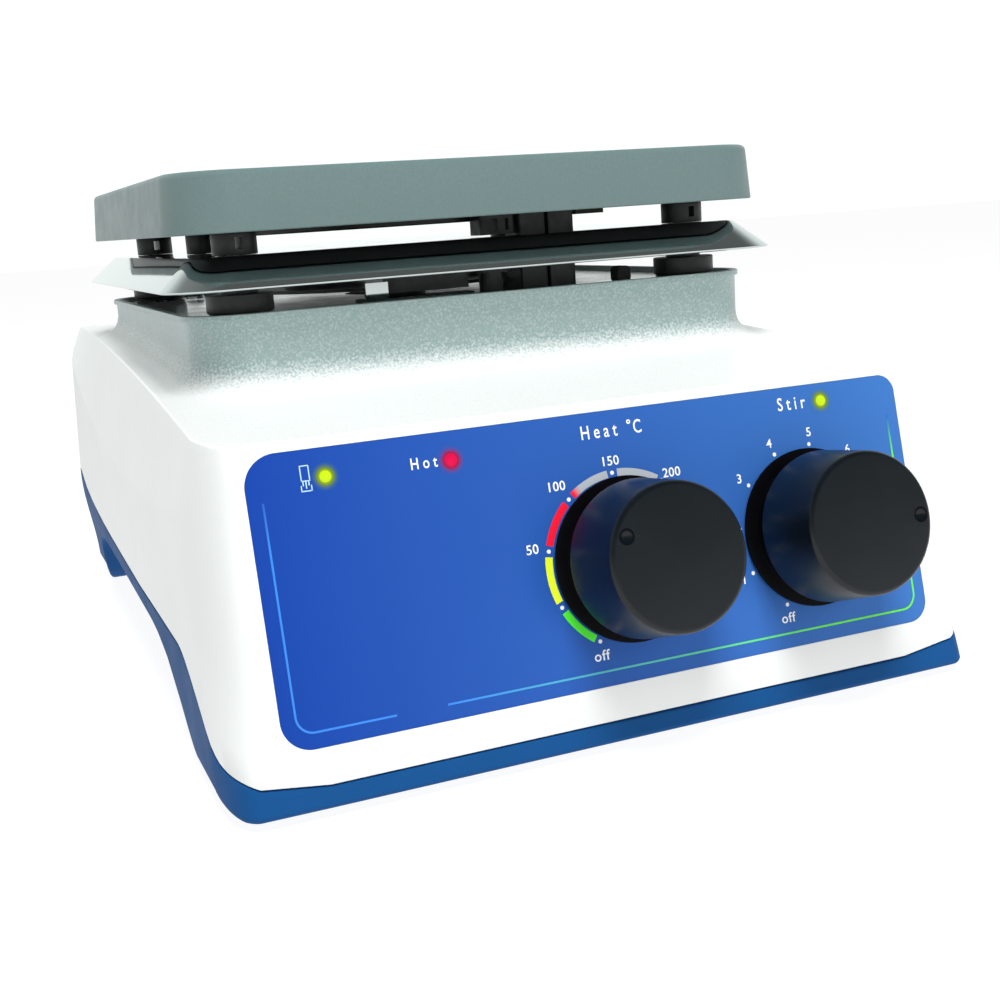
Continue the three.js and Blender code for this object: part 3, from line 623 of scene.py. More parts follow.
def edge_rows(station, steps=7):
    """Points that round the edge between the deck and the wall, from the deck to the wall."""
    top = settle(station, lambda _, y: deck_at(y), 74.0)
    x, y, normal = case_point(station, top)
    if abs(x) > half_width(top) - facet_depth(y):
        normal = (math.copysign(1, x), 0)
    lower = case_point(station, top - 1)
    lean = (lower[0] - x) * normal[0] + (lower[1] - y) * normal[1]
    rise = (DECK_SLOPE - 2 * DECK_BEND * y) * normal[1]
    up = np.array([-rise, 1]) / math.hypot(rise, 1)
    out = np.array([1, lean]) / math.hypot(1, lean)
    radius = edge_radius(normal)
    centre = np.linalg.solve(np.array([up, out]), np.array([-radius, -radius]))
    turn = math.acos(float(up @ out))
    points = []
    for k in range(steps + 1):
        t = k / steps
        mixed = (math.sin((1 - t) * turn) * up + math.sin(t * turn) * out) / math.sin(turn)
        d, h = centre + radius * mixed
        z = top + h
        inset = -lean * h - d
        points.append(wall_point(station, z, inset))
    return points


def collar_point(station, offset, z):
    half, corner = COLLAR_HALF + offset, (COLLAR_CORNER + offset,) * 2
    x, y, _ = station_point(station, half, -half, half, corner, corner)
    return x, y, z


def housing():
    """The collar's rim and outside, the fillet, the deck, its edge, the wall, then the inside back up."""
    rim = RIM_OVERHANG
    rows = []
    for offset, z in (
        (-1.0, FLOOR_TOP - FLOOR_SHEET), (-1.0, RIM_TOP - 0.45), (-0.9, RIM_TOP - 0.15), (-0.6, RIM_TOP),
        (rim - 0.4, RIM_TOP), (rim - 0.1, RIM_TOP - 0.12), (rim, RIM_TOP - 0.4), (rim, FLOOR_TOP + 0.2),
        (rim - 0.15, FLOOR_TOP), (0.05, FLOOR_TOP), (0, FLOOR_TOP - 0.1),
    ):
        rows.append([collar_point(s, offset, z) for s in STATIONS])
    for cosine, sine in quarter_turn(9):
        fillet = [collar_point(s, COLLAR_FILLET * (1 - cosine), 0) for s in STATIONS]
        rows.append([(x, y, deck_at(y) + COLLAR_FILLET * (1 - sine)) for x, y, _ in fillet])
    edges = [edge_rows(s) for s in STATIONS]
    rows += [list(row) for row in zip(*edges)]
    crease_steps, wall_steps = 7, 9
    walls = []
    for s, edge in zip(STATIONS, edges):
        start = edge[-1][2]
        crease = min(start - 2, settle(s, lambda _, y: facet_at(y), 55.0))
        foot = settle(s, seam_at, 20.0) + 0.2
        above, below = crease + CREASE_EASE, crease - CREASE_EASE
        column = [wall_point(s, lerp(start, above, k / crease_steps)) for k in range(1, crease_steps + 1)]
        column += [wall_point(s, crease), wall_point(s, below)]
        column += [wall_point(s, lerp(below, foot + 0.3, k / wall_steps)) for k in range(1, wall_steps + 1)]
        column.append(wall_point(s, foot + 0.08, 0.1))
        column.append(wall_point(s, foot, 0.35))
        column.append(wall_point(s, foot, SHELL))
        column.append(wall_point(s, crease, SHELL + 2))
        x, y, z = wall_point(s, edge[0][2] - 6, SHELL + 6)
        column.append((x, y, deck_at(y) - SHELL))
        walls.append(column)
    rows += [list(row) for row in zip(*walls)]
    inside = [collar_point(s, COLLAR_INSIDE, FLOOR_TOP - FLOOR_SHEET) for s in STATIONS]
    rows.append([(x, y, deck_at(y) - SHELL) for x, y, _ in inside])
    rows.append(inside)
    return loft(rows, closed=True)


shell = build("upper_housing_shell", *housing(), "white_shell", replaces=["upper_housing"], angle=28)

INLET_X, INLET_Z, PROBE_X = 45, 56, -18
BOSS_X, BOSS_Y = -58, 94
VENTS, VENT_X, VENT_STEP = 8, 3.9, 3.6
STAND_UP = Matrix.Rotation(-math.pi / 2, 4, "X")


def at_rear(x, z):
    return Matrix.Translation((x, rear_at(z) + 0.6, z)) @ STAND_UP


def panel_tile(extra, z0, z1):
    half = PANEL_WIDTH / 2 + extra
    radii = tuple(r + extra for r in PANEL_CORNERS)
    return loft([rounded_square(-half, half, -extra, PANEL_HEIGHT + extra, radii, z, 16) for z in (z0, z1)])


def rod(radius, z0, z1):
    """The profile of a plain cylinder on the axis."""
    return [(0, z0), (radius, z0), (radius, z1), (0, z1)]


carve(
    shell,
    (*panel_tile(0.06, -PANEL_SHEET - 0.05, 6), ON_PANEL),
    (*slab(0, 0, 27.4, 20.6, 2.2, -30, 8, 0.01), at_rear(INLET_X, INLET_Z)),
    (*turned(rod(7.3, -20, 8), 40), at_rear(PROBE_X, INLET_Z)),
    (*turned(rod(7.1, 70, 90), 40, (BOSS_X, BOSS_Y)), HERE),
    *[(*slab(0, 0, 1.8, 20, 0.85, -12, 8, 0.01), at_rear(VENT_X + VENT_STEP * k, INLET_Z))
      for k in range(VENTS)],
)

# ---------------- base tray
LEG_INSET = 4.5


def base_point(station, z, inset=0.0):
    """A point of the base's outside: flush with the housing, with the rear legs drawn in at the foot."""
    x, y, normal = case_point(station, z)
    leg = share(y, 45, 73) * max(0.0, (34 - z) / 34)
    if abs(x) > 1:
        x -= math.copysign(LEG_INSET * smooth(leg), x)
    return x - normal[0] * inset, y - normal[1] * inset, z


def underside_at(_, y):
    return along(UNDERSIDE_POINTS, y)


def base():
    """A tray with walls, a rounded lower edge, an underside that follows the arch, and a floor inside."""
    count = len(STATIONS)
    edge = 1.2
    columns = []
    inner_low = []
    for s in STATIONS:
        top = settle(s, seam_at, 20.0) - SEAM_GAP
        bottom = settle(s, underside_at, 5.0)
        inner_low.append(base_point(s, min(bottom + SHELL + 0.6, top - 0.5), SHELL))
        edge_here = min(edge, (top - bottom) * 0.25)
        column = [base_point(s, top, SHELL), base_point(s, top, 0.3), base_point(s, top - 0.08, 0.08)]
        column += [base_point(s, lerp(top - 0.3, bottom + edge_here, k / 10)) for k in range(11)]
        for cosine, sine in quarter_turn(5)[1:]:
            x, y, _ = base_point(s, bottom + edge_here, edge_here * (1 - cosine))
            column.append((x, y, bottom + edge_here * (1 - sine)))
        columns.append(column)
    rows = [list(row) for row in zip(*columns)]
    verts, faces = loft([inner_low, *rows])
    faces = faces[:-2]
    mirrored = [(END - 2 - i) % count for i in range(count)]
    # Strips across the underside, and across the inside floor, between each pair of mirrored stations.
    last = len(rows) * count
    for i in range(END - 1, count):
        j = (i + 1) % count
        if j < END - 1 or i >= mirrored[i] or j > mirrored[j]:
            continue
        strip_corners = (i, j, mirrored[j], mirrored[i])
        faces.append(tuple(dict.fromkeys(last + k for k in strip_corners)))
        faces.append(tuple(dict.fromkeys(reversed(strip_corners))))
    return verts, faces


base_obj = build("base_tray_shell", *base(), "blue_case", replaces=["base_tray"], angle=28)


def repair(obj, angle=28):
    """Fills what is left open, merges doubled points and faces every side out."""
    bm = bmesh.new()
    bm.from_mesh(obj.data)
    bmesh.ops.remove_doubles(bm, verts=bm.verts, dist=1e-6)
    loose = [e for e in bm.edges if len(e.link_faces) == 1]
    if loose:
        bmesh.ops.holes_fill(bm, edges=loose, sides=0)
    bmesh.ops.recalc_face_normals(bm, faces=bm.faces)
    bm.to_mesh(obj.data)
    bm.free()
    soften(obj, angle)


repair(base_obj)
repair(shell)

# ---------------- heated plate
SKIRT_INNER = 72.6
SKIRT_CORNER = 11.6
SKIRT_EASE = 0.3
FOOT_EASE = 0.35
TOP_EASE = 1.5
UNDER_PLATE_Z = 109.3
UNDER_BOSS = (45.5, 107.8)


def plate():
    """Down the skirt's inside, round its lower edge, and up the outside to the rounded top."""
    rows = [square(SKIRT_INNER, SKIRT_CORNER, z) for z in (115.7, PLATE_BOTTOM + SKIRT_EASE)]
    for c, s in quarter_turn(3):
        z = PLATE_BOTTOM + SKIRT_EASE * (1 - s)
        rows.append(square(SKIRT_INNER + SKIRT_EASE * (1 - c), SKIRT_CORNER, z))
    for c, s in quarter_turn(4):
        inset = FOOT_EASE * (1 - s)
        rows.append(square(PLATE_HALF - inset, PLATE_RADIUS - inset, PLATE_BOTTOM + FOOT_EASE * (1 - c)))
    for c, s in quarter_turn(8):
        inset = PLATE_DRAFT + TOP_EASE * (1 - c)
        z = PLATE_TOP - TOP_EASE + TOP_EASE * s
        rows.append(square(PLATE_HALF - inset, PLATE_RADIUS - inset * 0.6, z))
    return loft(rows)


build("heated_plate", *plate(), "cast_plate", replaces=["top_plate"], angle=40)
under_rows = [square(72.2, 11.2, UNDER_PLATE_Z, 14), square(72.2, 11.2, UNDER_PLATE_Z + 0.9, 14)]
under_boss = turned(rounded_profile(rod(UNDER_BOSS[0], UNDER_BOSS[1], 110), 0.3), 96)
build("under_plate_sheet", *merge(loft(under_rows), under_boss), "black_metal", replaces=["under_plate"])

# ---------------- drip tray
TRAY_HALF, TRAY_CORNER = 69.6, 8
TRAY_LIP_HALF, TRAY_LIP_CORNER, TRAY_LIP_Z = 77.3, 12, 97.3
TRAY_SHEET = 0.8


def tray():
    """The upper side from the middle out, round the lip, then the lower side back in."""
    bend = 0.5

    def flange(t, drop=0.0):
        half = lerp(TRAY_HALF + bend, TRAY_LIP_HALF, t)
        z = lerp(TRAY_TOP - 0.3, TRAY_LIP_Z, t) - drop
        return square(half, lerp(TRAY_CORNER + 0.4, TRAY_LIP_CORNER, t), z)

    rows = [square(TRAY_HALF - 4, TRAY_CORNER - 2, TRAY_TOP), square(TRAY_HALF - bend, TRAY_CORNER, TRAY_TOP),
            square(TRAY_HALF + bend * 0.3, TRAY_CORNER + 0.2, TRAY_TOP - 0.09)]
    rows += [flange(t) for t in (0, 0.06, 0.3, 0.6, 0.9, 0.975)]
    rows.append(square(TRAY_LIP_HALF + 0.12, TRAY_LIP_CORNER, TRAY_LIP_Z - 0.12))
    rows.append(square(TRAY_LIP_HALF + 0.05, TRAY_LIP_CORNER, TRAY_LIP_Z - 0.45))
    rows.append(square(TRAY_LIP_HALF - 0.35, TRAY_LIP_CORNER, TRAY_LIP_Z - 0.62))
    rows += [flange(t, TRAY_SHEET * 0.95) for t in (0.93, 0.5, 0.04)]
    rows.append(square(TRAY_HALF - bend - 0.4, TRAY_CORNER, TRAY_TOP - TRAY_SHEET))
    return loft(rows)


tray_obj = build("drip_tray", *tray(), "bright_steel", replaces=["deflector_tray"], angle=22, flip=True)
carve(
    tray_obj,
    (*slab(21.48, -50, 16.3, 11.2, 1, 95, 110, 0.01), HERE),
    *[(*turned(rod(2.3, 95, 110), 24, at), HERE) for at in SUPPORTS.values()],
    (*turned(rod(1.8, 95, 110), 24, SENSOR_AT), HERE),
)
repair(tray_obj, 22)

# ---------------- standoffs
PILLAR_FOOT = TRAY_TOP + 0.06
PILLAR_TOP = UNDER_PLATE_Z - 0.3
PILLAR_RADIUS = 5.2
PILLAR_PROFILE = rounded_profile(rod(PILLAR_RADIUS, PILLAR_FOOT, PILLAR_TOP), 0.25)
SLOT_HALF, SLOT_REACH = 0.8, 8
SPACER_RADIUS, NECK_RADIUS, SCREW_HOLE = 7.7, 4.4, 2.3
SPACER_TOP, NECK_TOP = 95.4, 102.9
SPACER_PROFILE = rounded_profile([
    (SCREW_HOLE, FLOOR_TOP + 0.3), (7.2, FLOOR_TOP + 0.3), (7.2, FLOOR_TOP + 1.1),
    (SPACER_RADIUS, FLOOR_TOP + 1.3), (SPACER_RADIUS, SPACER_TOP), (NECK_RADIUS, SPACER_TOP),
    (NECK_RADIUS, NECK_TOP), (SCREW_HOLE, NECK_TOP)], 0.35)
for name, (x, y) in SUPPORTS.items():
    pillar = build("pillar_sleeve_" + name, *turned(PILLAR_PROFILE, 48, (x, y)), "black_plastic",
                   replaces=["pillar_" + name])
    slit = (x - SLOT_HALF, x + SLOT_HALF, y - SLOT_REACH, y + SLOT_REACH, PILLAR_FOOT + 1.3, PILLAR_TOP - 1)
    carve(pillar, (*block(*slit), HERE))
    build("spacer_disc_" + name, *turned(SPACER_PROFILE, 64, (x, y)), "black_plastic",
          replaces=["spacer_" + name])

sleeve = rounded_profile([(1.5, PILLAR_FOOT), (3.6, PILLAR_FOOT), (3.6, PILLAR_TOP), (1.5, PILLAR_TOP)], 0.2)
build("sensor_sleeve_round", *turned(sleeve, 40, SENSOR_AT), "black_plastic", replaces=["sensor_sleeve"])

# ---------------- knobs
KNOB_PROFILE = rounded_profile([(0, 18.5), (3.3, 18.5), (3.3, 5.5), (16.0, 5.5), (16.4, 5.9), (14.95, 20.9),
                                (14.3, 21.5), (0, 21.5)], 0.45, 4)
# The knob's black skirt; its wide flat flange on the panel is painted shade, a dark ring standing in for the
# shadow under the knob's edge.
SKIRT_AND_SHADOW_PROFILE = rounded_profile([(5.4, 0.3), (17.3, 0.3), (17.3, 1), (14.6, 1.3), (14.6, 5.2), (5.4, 5.2)],
                               0.3)
DIMPLE_RADIUS, DIMPLE_Z = 1.75, 22.05
DIMPLE = [(DIMPLE_RADIUS * math.sin(a), DIMPLE_Z - DIMPLE_RADIUS * math.cos(a))
          for a in np.linspace(0, math.pi, 17)]
DIMPLE[0] = (0, DIMPLE[0][1])
DIMPLE[-1] = (0, DIMPLE[-1][1])
for name, x in KNOB_X.items():
    at = ON_PANEL @ Matrix.Translation((x, KNOB_UP, 0))
    body = name + "_dial"
    knob = build(name + "_knob_turned", *turned(KNOB_PROFILE, 128), "knob_black", body=body, at=at,
                 replaces=[name + "_knob"], angle=40)
    across, up = math.cos(POINTER[name]), math.sin(POINTER[name])
    dot = Matrix.Translation((POINTER_DISTANCE * across, POINTER_DISTANCE * up, 0))
    carve(knob, (*turned(DIMPLE, 40), at @ dot))
    # The black skirt, its flat flange painted shade under the knob.
    build(name + "_skirt_and_shadow_ring", *turned(SKIRT_AND_SHADOW_PROFILE, 128), "knob_ring", body=body, at=at,
          replaces=[name + "_knob_skirt"], slot="black_plastic")

# ---------------- control panel
build("panel_sheet", *panel_tile(0, -PANEL_SHEET, 0), "blue_panel", at=ON_PANEL, replaces=["fascia_panel"])

MARK_LOW, MARK_HIGH = 0.008, 0.03
TEXT_HALF, TEXT_SPREAD, TEXT_UP = 0.011, 0.035, 0.019
DOT_RING, DOT_RADIUS = 18.2, 0.44
OFF_ANGLE, OFF_RING = -117, 20.9
# Degrees round each dial; the heat dial's numbers also say how far out they stand.
HEAT_DOTS = [-121, 204, 166.5, 129.5, 93, 56, 19.5, -17.5, -54.5]
HEAT_LABELS = {166.5: ("50", 21.8), 129.5: ("100", 22.0), 93: ("150", 20.6), 52: ("200", 20.8),
               19.5: ("250", 21.6), -17.5: ("300", 21.6)}
STIR_DOTS = [-120.5, 204.8, 173.5, 142.2, 111.8, 82.4, 52, 21.6, -9, -39.3]
LABEL_RING = 20.8
FIVE_RING = 19.9
NUMBER_SIZE = 2.75


def mark_disc(x, y, radius, segments=20):
    return turned(rod(radius, MARK_LOW, MARK_HIGH), segments, (x, y))


def mark_arc(x, y, r0, r1, a0, a1, steps):
    """A flat ring sector, as one closed strip."""
    rows = []
    for k in range(steps + 1):
        a = math.radians(lerp(a0, a1, k / steps))
        c, s = math.cos(a), math.sin(a)
        section = ((r0, MARK_LOW), (r1, MARK_LOW), (r1, MARK_HIGH), (r0, MARK_HIGH))
        rows.append([(x + r * c, y + r * s, z) for r, z in section])
    return loft(rows)


def mark_bar(x0, y0, x1, y1):
    return block(x0, x1, y0, y1, MARK_LOW, MARK_HIGH)


def mark_text(body, x, y, size, spacing=1.0, width=1.0):
    """Lettering centred on x and y, its letters drawn to width times their own width."""
    curve = bpy.data.curves.new("text", "FONT")
    curve.body = body
    curve.size = size
    curve.align_x = "CENTER"
    curve.align_y = "CENTER"
    curve.extrude = TEXT_HALF
    curve.offset = TEXT_SPREAD
    curve.space_character = spacing
    curve.resolution_u = 4
    obj = add("text", curve)
    bpy.context.view_layer.update()
    mesh = obj.to_mesh()
    verts = [(v.co.x * width + x, v.co.y + y, v.co.z + TEXT_UP) for v in mesh.vertices]
    faces = [tuple(p.vertices) for p in mesh.polygons]
    obj.to_mesh_clear()
    bpy.data.objects.remove(obj)
    bpy.data.curves.remove(curve)
    return verts, faces


def around(name, angle, radius):
    a = math.radians(angle)
    return DIAL_X[name] + radius * math.cos(a), KNOB_UP + radius * math.sin(a)


white = []
for name, dots in (("heat", HEAT_DOTS), ("stir", STIR_DOTS)):
    for angle in dots:
        white.append(mark_disc(*around(name, angle, DOT_RING), DOT_RADIUS))
for angle, (label, reach) in HEAT_LABELS.items():
    white.append(mark_text(label, *around("heat", angle, reach), NUMBER_SIZE, 1.06))
for k, angle in enumerate(STIR_DOTS[1:]):
    reach = FIVE_RING if k == 5 else LABEL_RING
    white.append(mark_text(str(k + 1), *around("stir", angle, reach), NUMBER_SIZE))
for name in ("heat", "stir"):
    white.append(mark_text("off", *around(name, OFF_ANGLE, OFF_RING), 3.0, 1.1))
# The words, and the C of degrees Celsius with its ring: text, middle, size, spacing, width.
white.append(mark_text("Hot", -39.0, 50.4, 3.2, 1.6, 0.8))
white.append(mark_text("Heat", -0.4, 51.9, 4.0, 1.55, 0.76))
white.append(mark_text("C", 8.6, 51.9, 4.0, 1.0, 0.72))
white.append(mark_arc(6.7, 53.2, 0.2, 0.48, 0, 358, 16))
white.append(mark_text("Stir", 46.9, 52.3, 4.0, 1.6, 0.78))


# The probe's symbol, as bars: low X, low Y, high X, high Y from its middle.
ICON_X, ICON_Y, ICON_SCALE = -62.8, 50.4, 0.92
ICON_BARS = (
    (-1.0, 2.75, 1.0, 2.98), (-1.0, -0.4, 1.0, -0.17), (-1.0, -0.4, -0.77, 2.98), (0.77, -0.4, 1.0, 2.98),
    (-0.12, -1.9, 0.12, -0.4), (-0.75, -1.3, -0.5, -0.4), (0.5, -1.3, 0.75, -0.4),
    (-1.2, -2.5, 1.2, -2.27), (-1.2, -2.5, -0.97, -1.2), (0.97, -2.5, 1.2, -1.2),
)
build("panel_marks", *merge(*white), "print_white", at=ON_PANEL, slot="blue_panel", angle=60)

GREEN, YELLOW, RED, GREY = (0.07, 0.85, 0.02), (0.75, 0.9, 0.02), (0.9, 0.005, 0.03), (0.4, 0.44, 0.48)
ICON_BLUE = (0.42, 0.66, 0.85)
PANEL_BLUE = (0.01, 0.09, 0.45)
LINE_LEFT, LINE_RIGHT = (0.025, 0.2, 0.68), (0.13, 0.75, 0.03)
BAND = (17.3, 18.9)
BAND_GAP = 3.6
LINE, LINE_TOP, LINE_FADE = 0.42, 47, 9


def mix(one, other, t):
    return tuple(lerp(a, b, t) for a, b in zip(one, other))


def icon_colour(_):
    return ICON_BLUE


def grey_to_red(p):
    """The grey part of the heat dial's band, turning red where it meets the red part."""
    a = math.degrees(math.atan2(p[1] - KNOB_UP, p[0] - DIAL_X["heat"]))
    return mix(GREY, RED, share(a, 119, 124))


def line_colour(p):
    """The thin border line: pale at the left, green at the right, fading into the panel at its two ends."""
    colour = mix(LINE_LEFT, LINE_RIGHT, share(p[0], -40, 50))
    return mix(PANEL_BLUE, colour, share(LINE_TOP - p[1], 0, LINE_FADE))


# Pairs of a closed shape and what colours its points.
coloured = []
for bar in ICON_BARS:
    corner_values = (o + c * ICON_SCALE for o, c in zip((ICON_X, ICON_Y) * 2, bar))
    coloured.append((mark_bar(*corner_values), icon_colour))

for a0, a1, steps, colour in (
    (-156, -121, 16, lambda p: GREEN),
    (166.5, 204, 16, lambda p: YELLOW),
    (129.5, 166.5, 16, lambda p: RED),
    (93, 129.5, 24, grey_to_red),
    (56, 93, 16, grey_to_red),
):
    band = mark_arc(DIAL_X["heat"], KNOB_UP, *BAND, a0 + BAND_GAP, a1 - BAND_GAP, steps)
    coloured.append((band, colour))

left, right, low, bend = -71.7, 71.8, 2.9, 3.6
line_parts = []
for k in range(22):
    y0, y1 = (lerp(low + bend, LINE_TOP, n / 22) for n in (k, k + 1))
    line_parts.append(mark_bar(left, y0, left + LINE, y1))
    line_parts.append(mark_bar(right - LINE, y0, right, y1))
for x0, x1 in ((left + bend, -52), (-41.5, right - bend)):
    for k in range(24):
        line_parts.append(mark_bar(lerp(x0, x1, k / 24), low, lerp(x0, x1, (k + 1) / 24), low + LINE))
line_parts.append(mark_arc(left + bend, low + bend, bend - LINE, bend, 180, 270, 12))
line_parts.append(mark_arc(right - bend, low + bend, bend - LINE, bend, 270, 360, 12))
coloured += [(part, line_colour) for part in line_parts]

colour_marks = build("panel_colour_marks", *merge(*[part for part, _ in coloured]), "print_colours",
                     at=ON_PANEL, slot="blue_panel", angle=60)
layer = colour_marks.data.color_attributes.new("print", "FLOAT_COLOR", "POINT")
tints = [colour(v) for part, colour in coloured for v in part[0]]
for k, tint in enumerate(tints):
    layer.data[k].color = (*tint, 1)

# ---------------- indicator lenses
LEDS = {"probe_led": (-58.9, 50.5, "lens_green"), "hot_led": (-33.3, 50.3, "lens_red"),
        "stir_led": (54.6, 52.2, "lens_green")}


def halo(name):
    """The panel's blue giving way to a glow, as far as the mesh's own colours say."""
    material = graded(name, *PANEL_PAINTED_LIGHT)
    tree = material.node_tree
    shader = tree.nodes["Principled BSDF"]
    blue = shader.inputs["Base Color"].links[0].from_socket
    layer = node(tree, "ShaderNodeVertexColor", layer_name="glow")
    dim = node(tree, "ShaderNodeMix", data_type="RGBA")
    tree.links.new(layer.outputs["Alpha"], dim.inputs["Factor"])
    tree.links.new(blue, dim.inputs["A"])
    dim.inputs["B"].default_value = (0, 0, 0, 1)
    tree.links.new(dim.outputs["Result"], shader.inputs["Base Color"])
    tree.links.new(layer.outputs["Color"], shader.inputs["Emission Color"])
    shader.inputs["Emission Strength"].default_value = 1.0
    return material


M["lens_glow"] = halo("lens_glow")
# The glow's colour beside the lens, and at its outside.
GLOW = {
    "lens_green": ((0.42, 0.6, 0.015), (0.1, 0.28, 0.03)),
    "lens_red": ((0.8, 0.012, 0.09), (0.3, 0.01, 0.12)),
}
LENS_RADIUS, GLOW_RADIUS = 1.15, 3.0
GLOW_LOW, GLOW_HIGH, GLOW_FALL, GLOW_COVER = 0.006, 0.02, 1.6, 1.5
for name, (x, y, lens) in LEDS.items():
    at = ON_PANEL @ Matrix.Translation((x, y, 0))
    dome = [(0, -3), (LENS_RADIUS, -3), (LENS_RADIUS, 0.1)]
    angles = np.linspace(0.2, math.pi / 2 - 0.1, 6)
    dome += [(LENS_RADIUS * math.cos(a), 0.1 + 0.4 * math.sin(a)) for a in angles]
    dome += [(0, 0.5)]
    build(name + "_lens", *turned(dome, 32), lens, at=at, replaces=[name])
    rings = [lerp(LENS_RADIUS + 0.02, GLOW_RADIUS, k / 10) for k in range(11)]
    profile = [(r, GLOW_HIGH) for r in rings] + [(r, GLOW_LOW) for r in reversed(rings)]
    glow = build(name + "_glow", *turned(profile, 48), "lens_glow", at=at, slot="blue_panel", angle=80)
    layer = glow.data.color_attributes.new("glow", "FLOAT_COLOR", "POINT")
    local = (TO_ROW @ at).inverted()
    for k, v in enumerate(glow.data.vertices):
        p = local @ v.co
        fall = (1 - share(math.hypot(p.x, p.y), LENS_RADIUS, GLOW_RADIUS)) ** GLOW_FALL
        tint = [lerp(outer, inner, fall) * fall for inner, outer in zip(*GLOW[lens])]
        layer.data[k].color = (*tint, min(1.0, fall * GLOW_COVER))

# ---------------- small pieces that only the visible model has
INLET_PINS = ((-7, 2), (7, 2), (0, -2))
BASE_SCREWS = ((-72, -104, 4.1), (72, -104, 4.1), (-70, 92, 3.2), (70, 92, 3.2))
SCREW_PROFILE = ((0, 0.4), (1.4, 0.4), (1.4, 0), (3.4, 0), (3.7, 0.4), (3.7, 1.1), (1.7, 1.3), (1.7, 4.6),
                 (0, 4.6))
for k, (x, y) in enumerate(INLET_PINS):
    at = at_rear(INLET_X, INLET_Z) @ Matrix.Translation((x, y, 0))
    build(f"inlet_pin_{k + 1}", *slab(0, 0, 2, 4, 0.4, -14.3, -1.5, 0.3), "brass", at=at)
for k, (x, y, low) in enumerate(BASE_SCREWS):
    head = [(r, z + low) for r, z in SCREW_PROFILE]
    build(f"base_screw_{k + 1}", *turned(rounded_profile(head, 0.12), 24, (x, y)), "steel")

# ---------------- CAD nodes that stay
BEVEL = 0.2 * MM
KEPT = {
    "mica": ["heater_element"],
    "mineral_wool": ["insulation_pad"],
    "brass_dark": ["earth_tag"],
    "black_plastic": ["wire_duct_left", "wire_duct_right", "plate_connector", "terminal_strip",
                      "thermal_cutout", "mains_inlet", "probe_socket"],
    "floor_grey": ["floor_plate"],
    "bright_steel": ["strip_bracket"],
    "black_rubber": ["cable_grommet", *("foot_" + name for name in SUPPORTS)],
    "steel": ["floor_screw", "drive_shaft", "heat_shaft", "stir_shaft",
              *("support_screw_" + name for name in SUPPORTS)],
    "black_metal": ["rotor_disc", *(f"terminal_screw_{k}" for k in (1, 2, 3))],
    "magnet": ["drive_magnet_left", "drive_magnet_right"],
    "motor_steel": ["motor"],
    "aluminium": ["motor_bracket", "heat_potentiometer", "stir_potentiometer", "rod_boss"],
    "circuit_board": ["control_board", "power_board"],
}
for material, names in KEPT.items():
    for name in names:
        obj = NODES[name]
        obj.data.materials.clear()
        obj.data.materials.append(M[material])
        bevel = obj.modifiers.new("ease", "BEVEL")
        bevel.width = BEVEL
        bevel.segments = 2
        bevel.limit_method = "ANGLE"
        bevel.angle_limit = math.radians(50)
        bevel.harden_normals = False
        soften(obj, 35)

# ---------------- floor, light, camera
FLOOR_SIZE = 6
floor_mesh = bpy.data.meshes.new("floor")
floor_corners = [(x * FLOOR_SIZE, y * FLOOR_SIZE, 0) for x, y in ((-1, -1), (1, -1), (1, 1), (-1, 1))]
floor_mesh.from_pydata(floor_corners, [], [(0, 1, 2, 3)])
floor = add("floor", floor_mesh)
M["floor"] = finish("floor_pale", (0.16, 0.16, 0.16), 0.9, tint=(400, 0.01), specular=0.0,
                    emission=((1, 1, 1), 0.92))
floor.data.materials.append(M["floor"])

world = bpy.data.worlds.new("studio")
bpy.context.scene.world = world
world.use_nodes = True
backdrop_tree = world.node_tree
backdrop = backdrop_tree.nodes["Background"]
looking = node(backdrop_tree, "ShaderNodeTexCoord")
axes = node(backdrop_tree, "ShaderNodeSeparateXYZ")
backdrop_tree.links.new(looking.outputs["Generated"], axes.inputs["Vector"])


def world_ramp(axis, low, high, at_low, at_high):
    """How bright the studio is along one axis, from one side of it to the other."""
    ramp = node(backdrop_tree, "ShaderNodeMapRange", interpolation_type="SMOOTHSTEP")
    for name, value in zip(("From Min", "From Max", "To Min", "To Max"), (low, high, at_low, at_high)):
        ramp.inputs[name].default_value = value
    backdrop_tree.links.new(axes.outputs[axis], ramp.inputs["Value"])
    return ramp.outputs["Result"]


def combine(operation, one, other):
    made = node(backdrop_tree, "ShaderNodeMath", operation=operation)
    backdrop_tree.links.new(one, made.inputs[0])
    backdrop_tree.links.new(other, made.inputs[1])
    return made.outputs["Value"]


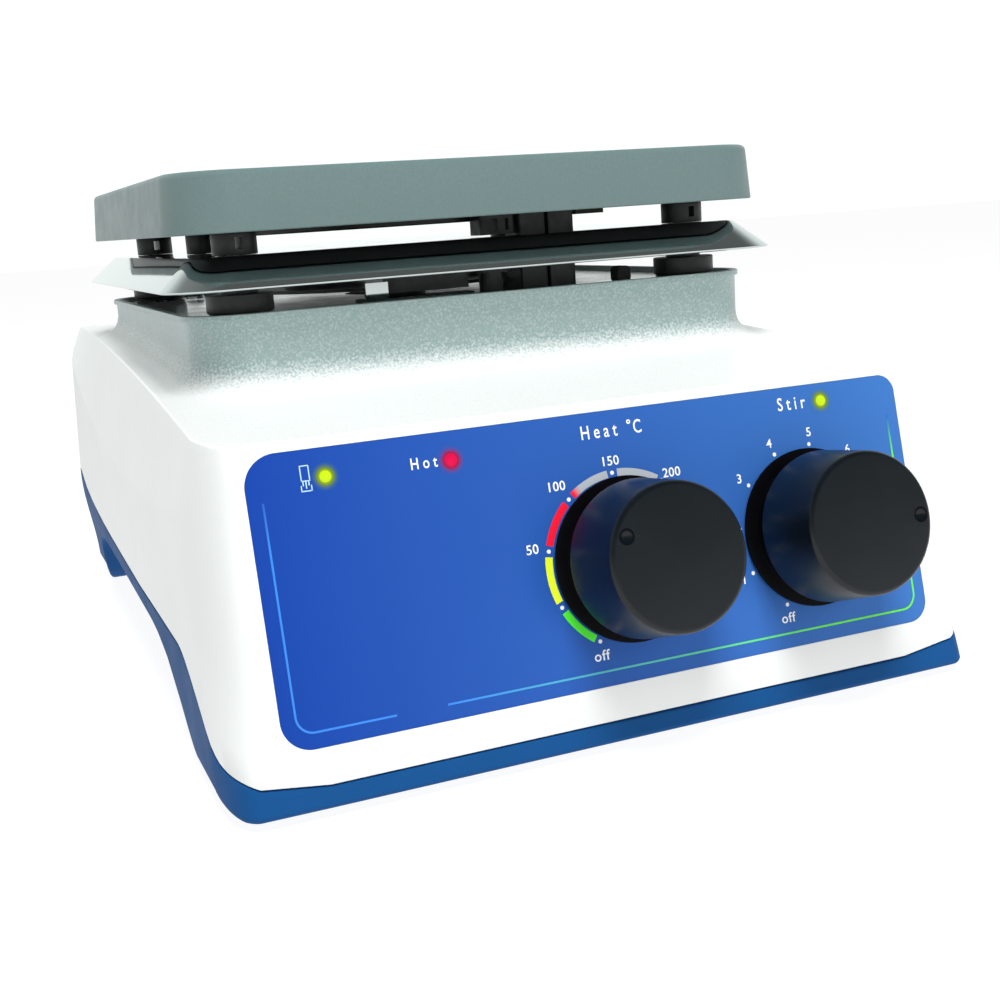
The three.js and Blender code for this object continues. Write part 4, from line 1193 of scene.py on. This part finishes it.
# White behind and low down all round, dim in front, and dim straight above.
front_to_back = world_ramp("Y", -0.25, 0.6, 0.2, 1.06)
right_to_left = world_ramp("X", -0.9, -0.2, 0.3, 0.0)
overhead = world_ramp("Z", 0.45, 0.8, 1.0, 0.3)
horizon = world_ramp("Z", 0.05, 0.13, 1.0, 0.0)
studio = combine("MULTIPLY", combine("MAXIMUM", front_to_back, right_to_left), overhead)
backdrop_tree.links.new(combine("MAXIMUM", studio, horizon), backdrop.inputs["Strength"])
backdrop.inputs["Color"].default_value = (0.95, 1, 0.985, 1)
bpy.context.scene.view_settings.view_transform = "Standard"


def area(name, place, aim, size, watts):
    """A square soft light at a place, in metres, that points at aim and isn't mirrored in glossy pieces."""
    light = bpy.data.lights.new(name, "AREA")
    light.shape = "RECTANGLE"
    light.size = size
    light.size_y = size
    light.energy = watts
    obj = add(name, light)
    obj.location = place
    obj.rotation_euler = (Vector(aim) - Vector(place)).to_track_quat("-Z", "Y").to_euler()
    obj.visible_glossy = False


area("key", (-0.1, -0.55, 1.35), (0, 0, 0.06), 0.5, 22)
area("fill", (0.35, -1.7, 0.6), (0, 0, 0.05), 0.8, 11)

# Where the camera stands, and its focal length in widths of its sensor.
SENSOR = 36
AZIMUTH, ELEVATION, ROLL = math.radians(22.03), math.radians(11.96), math.radians(3.83)
CAMERA_AT = (-122.98, -368.43, 109.16)
FOCAL = 1.34645

forward = Vector((math.sin(AZIMUTH) * math.cos(ELEVATION), math.cos(AZIMUTH) * math.cos(ELEVATION),
                  -math.sin(ELEVATION)))
right = Vector((math.cos(AZIMUTH), -math.sin(AZIMUTH), 0))
down = forward.cross(right)
side = right * math.cos(ROLL) + down * math.sin(ROLL)
below = down * math.cos(ROLL) - right * math.sin(ROLL)
lens = bpy.data.cameras.new("camera")
lens.sensor_width = SENSOR
lens.lens = FOCAL * SENSOR
lens.clip_start = 0.01
camera = add("camera", lens)
turn = Matrix((side, -below, -forward)).transposed()
camera.matrix_world = Matrix.Translation(TO_ROW @ Vector(CAMERA_AT)) @ turn.to_4x4()
bpy.context.scene.camera = camera
